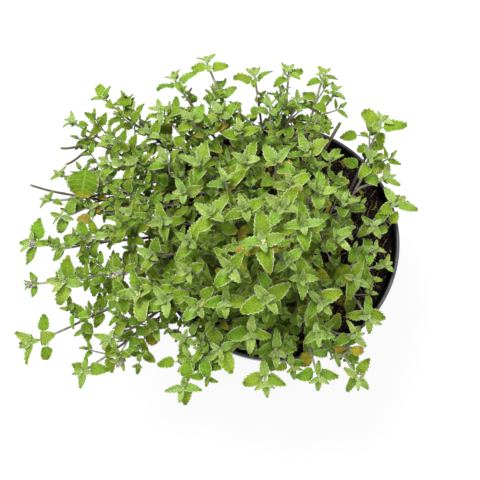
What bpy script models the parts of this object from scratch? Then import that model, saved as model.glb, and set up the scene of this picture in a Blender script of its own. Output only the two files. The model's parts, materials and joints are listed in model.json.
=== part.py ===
"""Potted catmint: a sprawling clump of leafy shoots growing in a round black nursery pot.

Metres, +Z up. The origin is the centre of the pot's underside. The pot, the peat in it, each
shoot and each cut stem is a solid of its own. The clump leans towards -X, where its longest
shoots trail out over the rim.
"""

import math
import random
from typing import NamedTuple

import bmesh
import bpy
from mathutils import Vector
from mathutils.bvhtree import BVHTree

MM = 0.001
SEAT_GAP = 0.35 * MM  # between a piece and what it rests on

# Pot: a thin moulded cone with a stiffening collar and a rolled lip
RIM_RADIUS = 85 * MM
POT_HEIGHT = 130 * MM
WALL = 1.4 * MM
COLLAR_DEPTH = 14 * MM
COLLAR_STEP = 2.6 * MM
BASE_RADIUS = 62 * MM
LIP_WIDTH = 2.4 * MM
COLLAR_INSIDE = RIM_RADIUS - LIP_WIDTH - 0.6 * MM  # radius of the hole through the collar
FOOT_HEIGHT = 3 * MM
FOOT_WIDTH = 6 * MM
HUB_RADIUS = 12 * MM
FLOOR = 1.3 * MM
DRAIN_HOLES = 8
DRAIN_RADIUS = 3.5 * MM
DRAIN_CIRCLE = 36 * MM
POT_SIDES = 40

# Peat: fills the pot to 9 mm below the rim, and is banked up on one side
SOIL_TOP = POT_HEIGHT - 9 * MM
SOIL_BANK = 3 * MM
SOIL_BANK_HEADING = 40
SOIL_RINGS = 6
SOIL_ROUGHNESS = 0.9 * MM
SOIL_MOUND = 2 * MM

# Stems: square in section, as in all of the mint family
STEM_FOOT = 1.35 * MM
STEM_TIP = 0.75 * MM
STEM_STEPS = 6
BRANCH_STEPS = 5
BRANCH_AT = 0.55  # share of the way up a stem where its side branch leaves
BRANCH_THICKNESS = 0.8
CROWN_SHARE = 0.27  # feet of the stems stand this share of their reach from the crown's middle
CROWN = Vector((0, 0, 0))
SECOND_CROWN = Vector((22, -10, 0)) * MM  # a second rooted cutting: the right-hand shoots
RIM_CLEARANCE = 3 * MM
STEM_CLEARANCE = 0.5 * MM
STEM_BOWS = [side * bow * MM for bow in (0, 3, 6, 9, 12, 16, 20, 25) for side in (1, -1)]
PRUNED_LEAN = 60

# Leaf pairs, from the growing tip down: distance below the tip, share of the full leaf length,
# angle off the stem in degrees. Each pair is turned a quarter round from the one above it.
PAIRS = ((2.5 * MM, 0.72, 42), (9 * MM, 1.0, 62), (26 * MM, 1.0, 78))
CROWDED_PAIRS = 2  # in the crowded middle and on side branches, where the lower leaves have dropped
LEAF_STATIONS = ((0.34, 0.33, 0.075), (0.68, 0.21, 0.05))  # along, half width, keel: shares of its length
LEAF_DROOP = 0.16
LEAF_CLEARANCE = 0.45 * MM
LEAF_NECK = 0.1 * MM  # from the stem's middle line to the start of a leaf
MOST_DROOP = -0.35  # lowest slope of a leaf's midrib
LIGHT_SEEKING = 0.55  # how far a leaf turns its face up, from 0 to 1
LEAF_TRIES = ((0, 0, 1.0), (14, 0, 1.0), (-14, 0, 1.0), (0, -16, 0.9), (26, 10, 0.85), (-26, 10, 0.85),
              (0, 20, 0.75), (38, -10, 0.7), (-38, -10, 0.7), (0, 0, 0.55))


class Tip(NamedTuple):
    """A growing tip: its place in mm from the pot's base, the stem's lean there in degrees from
    upright, the heading of its largest leaf pair and the length of those leaves in mm."""

    x: float
    y: float
    z: float
    lean: float
    heading: float
    leaf: float


# Each shoot is a main tip and, on some, a side branch's tip.
SHOOTS = {
    # trailing over the left side of the rim
    "trailing": (
        (Tip(-158, -73, 138, 75, 80, 17),),
        (Tip(-135, -36, 152, 35, 95, 16), Tip(-160, -35, 140, 80, 90, 9)),
        (Tip(-160, -10, 148, 60, 80, 16), Tip(-143, -14, 152, 50, 30, 12)),
        (Tip(-148, 39, 150, 60, 130, 9), Tip(-146, 9, 146, 60, 60, 12)),
        (Tip(-120, 32, 156, 55, 20, 19),),
        (Tip(-124, 14, 150, 45, 20, 11), Tip(-122, -8, 155, 45, 90, 14)),
        (Tip(-123, -92, 137, 75, 150, 15), Tip(-102, -88, 140, 70, 45, 9)),
        (Tip(-108, -75, 150, 45, 60, 15),),
        (Tip(-115, 87, 158, 60, 60, 15), Tip(-98, 84, 157, 60, 30, 10)),
        (Tip(-135, 74, 152, 65, 100, 11),),
        (Tip(-110, 52, 175, 40, 150, 16), Tip(-94, 37, 172, 35, 30, 14)),
        (Tip(-78, 74, 175, 55, 0, 14), Tip(-86, 60, 170, 40, 60, 13)),
        (Tip(-65, 90, 180, 50, 15, 14),),
    ),
    # leaning out over the rim at the back
    "back": (
        (Tip(-46, 103, 182, 60, 0, 14), Tip(-39, 88, 174, 40, 0, 14)),
        (Tip(-15, 97, 180, 55, 0, 13),),
        (Tip(9, 98, 180, 55, 40, 12), Tip(14, 80, 176, 40, 10, 12)),
        (Tip(-5, 74, 180, 40, 20, 13),),
        (Tip(30, 98, 176, 55, 20, 10), Tip(40, 90, 172, 50, 30, 11)),
        (Tip(26, 69, 170, 40, 0, 14),),
        (Tip(-25, 50, 195, 20, 0, 13), Tip(-37, 66, 188, 30, 30, 14)),
        (Tip(-56, 60, 190, 30, 45, 14),),
    ),
    # the sparse side, where the peat shows
    "right": (
        (Tip(68, 71, 158, 55, 60, 17),),
        (Tip(64, 46, 160, 45, 60, 14), Tip(75, 36, 150, 55, 20, 12)),
        (Tip(80, 20, 142, 65, 70, 13),),
        (Tip(50, -38, 160, 45, 70, 13), Tip(74, -22, 140, 60, 30, 9)),
        (Tip(57, -56, 142, 60, 60, 12),),
        (Tip(47, 8, 180, 30, 80, 13),),
        (Tip(32, 33, 190, 25, 60, 13), Tip(17, 38, 192, 25, 20, 14)),
    ),
    # leaning out over the rim at the front
    "front": (
        (Tip(52, -95, 145, 65, 20, 13), Tip(47, -78, 138, 60, 50, 11)),
        (Tip(25, -93, 150, 60, 0, 14), Tip(37, -84, 146, 55, 20, 11)),
        (Tip(-10, -97, 155, 60, 20, 13), Tip(-2, -84, 160, 45, 0, 16)),
        (Tip(-38, -83, 155, 45, 120, 17), Tip(-60, -75, 155, 40, 60, 12)),
        (Tip(-61, -100, 145, 65, 60, 15), Tip(-57, -87, 150, 45, 0, 12)),
        (Tip(22, -76, 175, 40, 100, 13),),
        (Tip(-18, -77, 180, 35, 0, 13),),
    ),
    # the tall middle of the clump
    "middle": (
        (Tip(-12, -37, 240, 5, 100, 18), Tip(3, -44, 226, 20, 40, 12)),
        (Tip(-87, -50, 175, 20, 100, 19),),
        (Tip(-94, 2, 175, 25, 60, 15), Tip(-73, -8, 188, 20, 100, 15)),
        (Tip(-72, 34, 185, 25, 20, 16),),
        (Tip(-49, 24, 205, 15, 80, 17), Tip(-59, 6, 202, 15, 10, 15)),
        (Tip(-41, -16, 225, 10, 50, 17), Tip(-33, 9, 214, 12, 20, 15)),
        (Tip(-22, -13, 226, 10, 20, 16),),
        (Tip(-55, -26, 206, 15, 60, 16), Tip(-56, -43, 200, 25, 30, 15)),
        (Tip(-30, -48, 225, 15, 45, 16),),
        (Tip(-9, -63, 214, 25, 30, 17),),
        (Tip(0, -12, 226, 5, 60, 17), Tip(5, 4, 224, 8, 20, 15)),
        (Tip(11, -50, 212, 20, 95, 15), Tip(24, -60, 190, 35, 45, 16)),
        (Tip(-21, 24, 210, 10, 70, 16),),
        (Tip(-3, 21, 215, 10, 130, 16),),
        (Tip(11, -24, 230, 10, 100, 18),),
        (Tip(-50, -62, 190, 30, 45, 16), Tip(-33, -63, 204, 30, 0, 15)),
        (Tip(-80, -27, 180, 25, 60, 15), Tip(-101, -36, 168, 40, 40, 9)),
        (Tip(-70, -56, 180, 30, 20, 17),),
        (Tip(36, -20, 190, 25, 40, 15),),
        (Tip(23, 6, 206, 15, 80, 15),),
    ),
}

# Stems that were cut back: the places of their cut ends in mm, and their thickness in mm
CUT_STEMS = {
    "pruned_fork": (((-131, 64, 158), (-146, 55, 155), (-142, 44, 153)), 1.3),
    "pruned_long_stem": (((-167, 32, 146),), 1.3),
    "pruned_short_stem": (((42, 67, 170),), 1.9),
}
FORK_AT = 0.86  # share of the way up where the pruned fork divides

COLOURS = {
    "pot": ((0.012, 0.012, 0.013), 0.42),
    "peat": ((0.022, 0.013, 0.008), 0.95),
    "shoot": ((0.19, 0.33, 0.06), 0.6),
    "cut_stem": ((0.16, 0.12, 0.05), 0.75),
}

UP = Vector((0, 0, 1))


class Stem(NamedTuple):
    """A routed stem: the piece it belongs to, its tip, its middle line, its radii
    at both ends, and whether it stands on the ground or branches from another stem."""

    owner: str
    tip: Tip
    path: list
    start_radius: float
    end_radius: float
    stands: bool


def clear_scene():
    for obj in list(bpy.data.objects):
        bpy.data.objects.remove(obj)


def material(name):
    """A Principled material of the named part's colour and roughness."""
    made = bpy.data.materials.get(name)
    if made is None:
        colour, roughness = COLOURS[name]
        made = bpy.data.materials.new(name)
        made.use_nodes = True
        shader = made.node_tree.nodes["Principled BSDF"]
        shader.inputs["Base Color"].default_value = (*colour, 1)
        shader.inputs["Roughness"].default_value = roughness
        shader.inputs["Metallic"].default_value = 0
    return made


def add_object(name, bm, finish):
    mesh = bpy.data.meshes.new(name)
    bm.to_mesh(mesh)
    bm.free()
    mesh.materials.append(material(finish))
    obj = bpy.data.objects.new(name, mesh)
    bpy.context.scene.collection.objects.link(obj)
    return obj


def add_helper(name, bm, finish):
    """A solid that only takes part in a Boolean."""
    obj = add_object(name, bm, finish)
    obj.hide_render = True
    obj.display_type = "WIRE"
    return obj


def join_to(obj, helper):
    union = obj.modifiers.new(helper.name, "BOOLEAN")
    union.operation = "UNION"
    union.use_self = True
    union.object = helper


def lathe(profile, sides):
    """A closed solid turned about Z from (radius, height) points that start and end on the axis."""
    bm = bmesh.new()
    rings = []
    for radius, height in profile:
        if radius == 0:
            rings.append([bm.verts.new((0, 0, height))])
            continue
        angles = [math.tau * i / sides for i in range(sides)]
        rings.append([bm.verts.new((radius * math.cos(a), radius * math.sin(a), height)) for a in angles])
    for lower, upper in zip(rings, rings[1:]):
        for i in range(sides):
            j = (i + 1) % sides
            corners = [lower[i % len(lower)], lower[j % len(lower)]]
            corners += [upper[j % len(upper)], upper[i % len(upper)]]
            bm.faces.new(list(dict.fromkeys(corners)))
    return bm


def wall_radius(height):
    """The outer radius of the pot's cone below its collar."""
    collar_foot = POT_HEIGHT - COLLAR_DEPTH
    top = RIM_RADIUS - COLLAR_STEP - 1.5 * MM
    return BASE_RADIUS + (top - BASE_RADIUS) * height / collar_foot


def make_pot():
    collar_foot = POT_HEIGHT - COLLAR_DEPTH
    floor_top = FOOT_HEIGHT + FLOOR
    inner_top = wall_radius(collar_foot) - WALL
    profile = [
        (0, 0),
        (HUB_RADIUS, 0),
        (HUB_RADIUS + 1.5 * MM, FOOT_HEIGHT),
        (BASE_RADIUS - FOOT_WIDTH, FOOT_HEIGHT),
        (BASE_RADIUS - FOOT_WIDTH + 1 * MM, 0),
        (BASE_RADIUS - 0.6 * MM, 0),
        (wall_radius(1.5 * MM), 1.5 * MM),
        (wall_radius(collar_foot - 2 * MM), collar_foot - 2 * MM),
        (RIM_RADIUS - 1.2 * MM, collar_foot),
        (RIM_RADIUS, POT_HEIGHT - 1 * MM),
        (RIM_RADIUS - 0.7 * MM, POT_HEIGHT),
        (RIM_RADIUS - LIP_WIDTH + 0.5 * MM, POT_HEIGHT),
        (RIM_RADIUS - LIP_WIDTH, POT_HEIGHT - 1.2 * MM),
        (COLLAR_INSIDE, collar_foot + 1 * MM),
        (inner_top, collar_foot - 3 * MM),
        (wall_radius(floor_top) - WALL, floor_top + 1.5 * MM),
        (wall_radius(floor_top) - WALL - 2 * MM, floor_top),
        (0, floor_top),
    ]
    pot = add_object("pot", lathe(profile, POT_SIDES), "pot")
    drill = bmesh.new()
    for i in range(DRAIN_HOLES):
        angle = math.tau * i / DRAIN_HOLES
        centre = Vector((math.cos(angle), math.sin(angle), 0)) * DRAIN_CIRCLE
        made = bmesh.ops.create_cone(drill, cap_ends=True, segments=10, radius1=DRAIN_RADIUS,
                                     radius2=DRAIN_RADIUS, depth=4 * FOOT_HEIGHT)
        bmesh.ops.translate(drill, verts=made["verts"], vec=centre)
    cutter = add_helper("drain_hole_drill", drill, "pot")
    holes = pot.modifiers.new("drain_holes", "BOOLEAN")
    holes.operation = "DIFFERENCE"
    holes.object = cutter
    pot.data.shade_smooth()
    pot.data.set_sharp_from_angle(angle=math.radians(30))
    return pot


def make_peat():
    """The root ball and peat, slightly mounded and rough on top, standing free of the wall all round."""
    floor_top = FOOT_HEIGHT + FLOOR
    collar_foot = POT_HEIGHT - COLLAR_DEPTH
    gap = WALL + SEAT_GAP
    sides = [
        (0, floor_top + SEAT_GAP),
        (wall_radius(floor_top) - gap - 2.2 * MM, floor_top + SEAT_GAP),
        (wall_radius(floor_top) - gap, floor_top + 1.8 * MM),
        (wall_radius(collar_foot) - gap, collar_foot - 3 * MM),
        (COLLAR_INSIDE - SEAT_GAP, collar_foot + 1 * MM),
        (COLLAR_INSIDE - SEAT_GAP, SOIL_TOP),
    ]
    edge = sides[-1][0]
    top = [(edge * (1 - i / SOIL_RINGS), SOIL_TOP + SOIL_MOUND * math.sin(0.5 * math.pi * i / SOIL_RINGS))
           for i in range(1, SOIL_RINGS + 1)]
    bm = lathe(sides + [(radius if i < SOIL_RINGS - 1 else 0, z) for i, (radius, z) in enumerate(top)],
               POT_SIDES)
    rough = random.Random(4)
    bank = math.radians(SOIL_BANK_HEADING)
    for vert in bm.verts:
        if vert.co.z > SOIL_TOP + 0.01 * MM:
            vert.co.z += rough.uniform(-1, 1) * SOIL_ROUGHNESS
        if vert.co.z > collar_foot + 2 * MM:
            vert.co.z += SOIL_BANK * (vert.co.x * math.cos(bank) + vert.co.y * math.sin(bank)) / edge
    return add_object("peat", bm, "peat")


def tree_of(bm):
    return BVHTree.FromBMesh(bm)


def tree_of_object(obj):
    bm = bmesh.new()
    bm.from_mesh(obj.data)
    return tree_of(bm)


def bezier(corners, steps):
    """Points along a cubic curve."""
    a, b, c, d = corners
    points = []
    for i in range(steps + 1):
        t = i / steps
        s = 1 - t
        points.append(s**3 * a + 3 * s * s * t * b + 3 * s * t * t * c + t**3 * d)
    return points


def leaning(outward, lean):
    """The direction of a stem's end that leans outward by so many degrees from upright."""
    angle = math.radians(lean)
    return outward * math.sin(angle) + UP * math.cos(angle)


def stem_curve(foot, end, lean, bow):
    """Handles of the curve that a shoot takes: up out of the crown, then over towards its tip."""
    run = Vector((end.x - foot.x, end.y - foot.y, 0))
    outward = run.normalized()
    rise = max(end.z - foot.z, 0)
    side = UP.cross(outward) * bow
    low = foot + run * 0.16 + UP * (0.45 * rise + 0.24 * run.length + RIM_CLEARANCE) + side
    reach = 0.34 * (end - foot).length
    high = end - leaning(outward, lean) * reach + side
    high.z = max(high.z, end.z - 0.8 * rise)
    return foot, low, high, end


def across_stem(direction, heading):
    """The direction square to a stem that is this compass heading once the stem is stood upright."""
    turn = math.radians(heading)
    return UP.rotation_difference(direction) @ Vector((math.cos(turn), math.sin(turn), 0))


def add_stem(bm, stem, margin=0.0):
    """A closed tapering stem, square in section, whose flat sides face the ways its leaves point."""
    path = stem.path
    rings = []
    for i, point in enumerate(path):
        tangent = (path[min(i + 1, len(path) - 1)] - path[max(i - 1, 0)]).normalized()
        if i == 0 and stem.stands:
            tangent = UP
        radius = stem.start_radius + (stem.end_radius - stem.start_radius) * i / (len(path) - 1) + margin
        corners = [across_stem(tangent, stem.tip.heading + quarter) for quarter in (45, 135, 225, 315)]
        rings.append([bm.verts.new(point + corner * radius) for corner in corners])
    for lower, upper in zip(rings, rings[1:]):
        for i in range(4):
            j = (i + 1) % 4
            bm.faces.new((lower[i], lower[j], upper[j], upper[i]))
    bm.faces.new(list(reversed(rings[0])))
    bm.faces.new(rings[-1])


def stem_tree(stem, margin=0.0):
    bm = bmesh.new()
    add_stem(bm, stem, margin)
    return tree_of(bm)


def touches(tree, others):
    return any(tree.overlap(other) for other in others)


def grow(owner, tip, curve_with_bow, radii, stems, stands):
    """A stem along the first of several bowed curves that stays clear of every other piece's stems."""
    others = [stem_tree(stem) for stem in stems if stem.owner != owner]
    for bow in STEM_BOWS:
        path = bezier(curve_with_bow(bow), STEM_STEPS if stands else BRANCH_STEPS)
        stem = Stem(owner, tip, path, *radii, stands)
        if not touches(stem_tree(stem, STEM_CLEARANCE), others):
            break
    stems.append(stem)
    return stem


def foot_on(peat_tree, crown, end, radius):
    """The place just clear of the peat where a stem that ends over this point comes out of the ground."""
    middle = crown + Vector((end.x * CROWN_SHARE, end.y * CROWN_SHARE, 1))
    around = [Vector((x, y, 0)) * radius for x, y in ((0, 0), (1, 0), (-1, 0), (0, 1), (0, -1))]
    ground = max(peat_tree.ray_cast(middle + step, -UP)[0].z for step in around)
    return Vector((middle.x, middle.y, ground + SEAT_GAP))


def grow_main_stem(owner, tip, radii, peat_tree, stems):
    end = Vector((tip.x, tip.y, tip.z)) * MM
    crown = SECOND_CROWN if owner.startswith("shoot_right") else CROWN
    foot = foot_on(peat_tree, crown, end, radii[0])
    return grow(owner, tip, lambda bow: stem_curve(foot, end, tip.lean, bow), radii, stems, True)


def grow_branch(parent, share, tip, radii, stems):
    """A side branch that leaves its parent stem at this share of the way up."""
    end = Vector((tip.x, tip.y, tip.z)) * MM
    length = sum((b - a).length for a, b in zip(parent.path, parent.path[1:]))
    fork, direction = point_below_tip(parent.path, (1 - share) * length)

    def curve(bow):
        run = Vector((end.x - fork.x, end.y - fork.y, 0)).normalized()
        reach = (end - fork).length
        side = UP.cross(run) * bow
        low = fork + direction * 0.35 * reach + side
        high = end - leaning(run, tip.lean) * 0.35 * reach + side
        return fork, low, high, end

    return grow(parent.owner, tip, curve, radii, stems, False)


def point_below_tip(path, distance):
    """The place and direction on the path this far back from its end."""
    for lower, upper in zip(reversed(path[:-1]), reversed(path)):
        length = (upper - lower).length
        if distance <= length:
            return upper.lerp(lower, distance / length), (upper - lower).normalized()
        distance -= length
    return path[0].copy(), (path[1] - path[0]).normalized()


def leaf_frame(stem_direction, heading, off_stem):
    """A leaf's directions along its midrib, across it and out of its upper face."""
    side = across_stem(stem_direction, heading)
    off = math.radians(off_stem)
    along = (stem_direction * math.cos(off) + side * math.sin(off)).normalized()
    along.z = max(along.z, MOST_DROOP)
    along.normalize()
    face = (stem_direction * math.sin(off) - side * math.cos(off)).lerp(UP, LIGHT_SEEKING)
    face = (face - along * face.dot(along)).normalized()
    return along, along.cross(face), face


def add_leaf(bm, base, frame, length, margin=0.0):
    """A thin ovate blade with a keel under its midrib, which narrows to a point inside the stem."""
    along, across, face = frame
    rows = []
    for share, half_width, depth in LEAF_STATIONS:
        centre = base + along * (share * length) - face * (LEAF_DROOP * share**2 * length - margin)
        half = across * (half_width * length + margin)
        keel = face * (depth * length + 2 * margin)
        rows.append([bm.verts.new(centre - half), bm.verts.new(centre + half), bm.verts.new(centre - keel)])
    neck = bm.verts.new(base)
    end = bm.verts.new(base + along * (length + margin) - face * LEAF_DROOP * length)
    left, right, keel = rows[0]
    next_left, next_right, next_keel = rows[1]
    bm.faces.new((neck, right, left))
    bm.faces.new((neck, left, keel))
    bm.faces.new((neck, keel, right))
    bm.faces.new((left, right, next_right, next_left))
    bm.faces.new((left, next_left, next_keel, keel))
    bm.faces.new((right, keel, next_keel, next_right))
    bm.faces.new((next_left, next_right, end))
    bm.faces.new((next_left, end, next_keel))
    bm.faces.new((next_right, next_keel, end))


def add_leaf_pairs(bm, stem, pairs, others, vary):
    """Opposite leaves down the stem from its tip, each kept clear of everything on other pieces."""
    for number, (below, share, off_stem) in enumerate(pairs):
        place, direction = point_below_tip(stem.path, below)
        heading = stem.tip.heading + 90 * (number + 1) + vary.uniform(-10, 10)
        for side in (0, 180):
            length = stem.tip.leaf * MM * share * vary.uniform(0.9, 1.08)
            for twist, lift, shrink in LEAF_TRIES:
                frame = leaf_frame(direction, heading + side + twist, off_stem + lift)
                base = place + frame[0] * LEAF_NECK
                trial = bmesh.new()
                add_leaf(trial, base, frame, length * shrink, LEAF_CLEARANCE)
                if not touches(tree_of(trial), others):
                    add_leaf(bm, base, frame, length * shrink)
                    break


def make_stem_object(name, stems, finish):
    """A piece's main stem, with its side branches joined on."""
    bm = bmesh.new()
    add_stem(bm, stems[0])
    obj = add_object(name, bm, finish)
    for number, stem in enumerate(stems[1:], 1):
        bm = bmesh.new()
        add_stem(bm, stem)
        join_to(obj, add_helper(f"{name}_branch_{number}", bm, finish))
    return obj


def grow_every_stem(shoots, peat_tree):
    """All stems, the main ones first, so that side branches bend round them."""
    stems = []
    for name, (ends, thickness) in CUT_STEMS.items():
        foot, fork, cut = (share * thickness * MM for share in (1, 0.8, 0.75))
        tips = [Tip(*end, PRUNED_LEAN, 0, 0) for end in ends]
        main = grow_main_stem(name, tips[0], (foot, fork), peat_tree, stems)
        for tip in tips[1:]:
            grow_branch(main, FORK_AT, tip, (fork, cut), stems)
    for name, tips in shoots.items():
        grow_main_stem(name, tips[0], (STEM_FOOT, STEM_TIP), peat_tree, stems)
    for parent in [stem for stem in stems if stem.owner in shoots]:
        for tip in shoots[parent.owner][1:]:
            grow_branch(parent, BRANCH_AT, tip, (BRANCH_THICKNESS * STEM_FOOT, STEM_TIP), stems)
    return stems


def make_plant(pot, peat):
    peat_tree = tree_of_object(peat)
    shoots = {f"shoot_{group}_{number:02d}": tips
              for group, rows in SHOOTS.items() for number, tips in enumerate(rows, 1)}
    stems = grow_every_stem(shoots, peat_tree)
    for name in CUT_STEMS:
        make_stem_object(name, [stem for stem in stems if stem.owner == name], "cut_stem")
    grown = [peat_tree, tree_of_object(pot)]
    for seed, name in enumerate(shoots):
        own = [stem for stem in stems if stem.owner == name]
        others = grown + [stem_tree(stem) for stem in stems if stem.owner != name]
        vary = random.Random(seed)
        bm = bmesh.new()
        for stem in own:
            crowded = not stem.stands or name.startswith("shoot_middle")
            add_leaf_pairs(bm, stem, PAIRS[:CROWDED_PAIRS] if crowded else PAIRS, others, vary)
        grown.append(tree_of(bm))
        join_to(make_stem_object(name, own, "shoot"), add_helper(f"{name}_leaves", bm, "shoot"))


clear_scene()
make_plant(make_pot(), make_peat())
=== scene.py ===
"""Looks of a potted catmint: a downy herb that sprawls out of a round black nursery pot.

Metres, +Z up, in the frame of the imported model. The file follows the plant as it is potted up:
the pot, the peat, the shoots with their leaves, the stems that were cut back, then what it is
shown on and lit by.
"""

import json
import math
import random
from collections import defaultdict
from typing import NamedTuple

import bmesh
import bpy
from mathutils import Matrix, Quaternion, Vector, noise
from mathutils.bvhtree import BVHTree

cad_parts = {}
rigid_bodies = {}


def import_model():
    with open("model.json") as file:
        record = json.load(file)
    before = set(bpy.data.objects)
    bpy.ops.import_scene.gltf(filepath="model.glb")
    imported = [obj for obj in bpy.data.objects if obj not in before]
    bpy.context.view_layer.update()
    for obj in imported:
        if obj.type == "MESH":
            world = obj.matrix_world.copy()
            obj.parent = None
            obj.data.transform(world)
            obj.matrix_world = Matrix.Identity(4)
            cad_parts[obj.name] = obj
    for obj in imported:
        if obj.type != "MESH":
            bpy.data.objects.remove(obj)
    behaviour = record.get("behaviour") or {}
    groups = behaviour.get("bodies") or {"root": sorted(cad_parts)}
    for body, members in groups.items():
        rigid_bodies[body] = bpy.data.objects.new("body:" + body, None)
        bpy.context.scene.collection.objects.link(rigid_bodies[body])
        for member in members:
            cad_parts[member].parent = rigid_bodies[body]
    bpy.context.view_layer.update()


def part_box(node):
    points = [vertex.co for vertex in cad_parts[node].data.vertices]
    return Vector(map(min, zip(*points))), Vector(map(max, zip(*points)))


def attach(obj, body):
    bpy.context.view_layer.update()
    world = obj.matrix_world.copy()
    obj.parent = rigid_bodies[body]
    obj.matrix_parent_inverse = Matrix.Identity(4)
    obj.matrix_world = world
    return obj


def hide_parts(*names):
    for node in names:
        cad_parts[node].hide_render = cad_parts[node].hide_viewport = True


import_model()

# ---------------------------------------------------------------------------------------------
# Pot. A two-litre grower's pot, injection moulded in one piece from black polypropylene: a thin
# cone with a stiffening collar, a rolled lip and a foot ring, gated in the middle of the floor.
# ---------------------------------------------------------------------------------------------
MM = 0.001
POT_SIDES = 144
WALL = 1.4 * MM
COLLAR_DEPTH = 14 * MM
COLLAR_STEP = 2.6 * MM
LIP_WIDTH = 2.4 * MM
FOOT_HEIGHT = 3 * MM
FOOT_WIDTH = 6 * MM
HUB_RADIUS = 12 * MM
FLOOR = 1.3 * MM
DRAIN_HOLES = 8
DRAIN_RADIUS = 3.5 * MM
DRAIN_CIRCLE = 36 * MM
GATE_RADIUS = 2 * MM

pot_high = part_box("pot")[1]
POT_HEIGHT = pot_high.z
RIM_RADIUS = pot_high.x
BASE_RADIUS = RIM_RADIUS - 23 * MM
COLLAR_FOOT = POT_HEIGHT - COLLAR_DEPTH


def linear(code):
    """The linear RGBA of an sRGB hex colour such as "#6f9a3c"."""
    parts = [int(code[i:i + 2], 16) / 255 for i in (1, 3, 5)]
    return (*[p / 12.92 if p <= 0.04045 else ((p + 0.055) / 1.055) ** 2.4 for p in parts], 1)


def feed(tree, node, inputs):
    """Sets a node's inputs. One given a socket, or a node for its first output, is linked."""
    for name, value in inputs.items():
        if isinstance(value, bpy.types.Node):
            value = next(output for output in value.outputs if output.enabled)
        if isinstance(value, bpy.types.NodeSocket):
            tree.links.new(value, node.inputs[name])
        else:
            node.inputs[name].default_value = value


def add_node(tree, kind, inputs=None, **settings):
    """A new node with these settings and inputs."""
    node = tree.nodes.new(kind)
    for name, value in settings.items():
        setattr(node, name, value)
    feed(tree, node, inputs or {})
    return node


def new_finish(name):
    """A new material, its node tree and its Principled shader."""
    made = bpy.data.materials.new(name)
    made.use_nodes = True
    return made, made.node_tree, made.node_tree.nodes["Principled BSDF"]


def new_piece(name, mesh):
    piece = bpy.data.objects.new(name, mesh)
    bpy.context.scene.collection.objects.link(piece)
    return piece


def mesh_of(bm, name):
    mesh = bpy.data.meshes.new(name)
    bm.to_mesh(mesh)
    bm.free()
    return mesh


def turned(bm, profile, sides):
    """Faces turned about Z from (radius, height) points, outside first; a radius of 0 is a pole."""
    rings = []
    for radius, height in profile:
        angles = [math.tau * i / sides for i in range(sides)] if radius else [0]
        rings.append([bm.verts.new((radius * math.cos(a), radius * math.sin(a), height))
                      for a in angles])
    for lower, upper in zip(rings, rings[1:]):
        for i in range(sides):
            j = (i + 1) % sides
            corners = [lower[i % len(lower)], lower[j % len(lower)]]
            corners += [upper[j % len(upper)], upper[i % len(upper)]]
            bm.faces.new(list(dict.fromkeys(corners)))
    return rings


def arc(centre, radius, start, end, steps):
    """Points of a round corner in the (radius, height) plane; angles in degrees."""
    turns = [math.radians(start + (end - start) * i / steps) for i in range(steps + 1)]
    return [(centre[0] + radius * math.cos(t), centre[1] + radius * math.sin(t)) for t in turns]


def wall_radius(height):
    """The outer radius of the pot's cone below its collar."""
    top = RIM_RADIUS - COLLAR_STEP - 1.5 * MM
    return BASE_RADIUS + (top - BASE_RADIUS) * height / COLLAR_FOOT


def pot_profile():
    """The wall's section, from the middle of the underside out, up, over the lip and back in."""
    floor_top = FOOT_HEIGHT + FLOOR
    bead = LIP_WIDTH / 2
    inside = RIM_RADIUS - LIP_WIDTH
    return [
        (0, 0.75 * MM),
        (GATE_RADIUS, 0.75 * MM),
        (GATE_RADIUS + 0.4 * MM, 0),
        *arc((HUB_RADIUS - 0.4 * MM, 0.4 * MM), 0.4 * MM, -90, 0, 3),
        (HUB_RADIUS + 1.4 * MM, FOOT_HEIGHT - 0.1 * MM),
        (HUB_RADIUS + 1.7 * MM, FOOT_HEIGHT),
        (BASE_RADIUS - FOOT_WIDTH - 0.3 * MM, FOOT_HEIGHT),
        (BASE_RADIUS - FOOT_WIDTH + 0.7 * MM, 0.3 * MM),
        (BASE_RADIUS - FOOT_WIDTH + 1.1 * MM, 0),
        *arc((wall_radius(1.5 * MM) - 1.5 * MM, 1.5 * MM), 1.5 * MM, -90, -6, 5),
        (wall_radius(20 * MM), 20 * MM),
        (wall_radius(60 * MM), 60 * MM),
        (wall_radius(COLLAR_FOOT - 3 * MM), COLLAR_FOOT - 3 * MM),
        (wall_radius(COLLAR_FOOT - 2 * MM) + 0.2 * MM, COLLAR_FOOT - 1.6 * MM),
        (RIM_RADIUS - 1.9 * MM, COLLAR_FOOT - 0.2 * MM),
        *arc((RIM_RADIUS - 1.7 * MM, COLLAR_FOOT + 0.5 * MM), 0.5 * MM, -80, 0, 3),
        (RIM_RADIUS - 0.7 * MM, POT_HEIGHT - 3.6 * MM),
        (RIM_RADIUS - 0.5 * MM, POT_HEIGHT - 2.9 * MM),
        *arc((RIM_RADIUS - bead, POT_HEIGHT - bead), bead, -40, 200, 12),
        (inside + 0.1 * MM, POT_HEIGHT - 2.4 * MM),
        (inside - 0.5 * MM, COLLAR_FOOT + 1.4 * MM),
        (inside - 1.0 * MM, COLLAR_FOOT + 0.4 * MM),
        (wall_radius(COLLAR_FOOT) - WALL + 0.1 * MM, COLLAR_FOOT - 2.4 * MM),
        (wall_radius(COLLAR_FOOT - 4 * MM) - WALL, COLLAR_FOOT - 4 * MM),
        (wall_radius(60 * MM) - WALL, 60 * MM),
        (wall_radius(floor_top) - WALL, floor_top + 1.5 * MM),
        (wall_radius(floor_top) - WALL - 0.6 * MM, floor_top + 0.4 * MM),
        (wall_radius(floor_top) - WALL - 2 * MM, floor_top),
        (HUB_RADIUS, floor_top),
        (0, floor_top),
    ]


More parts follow.
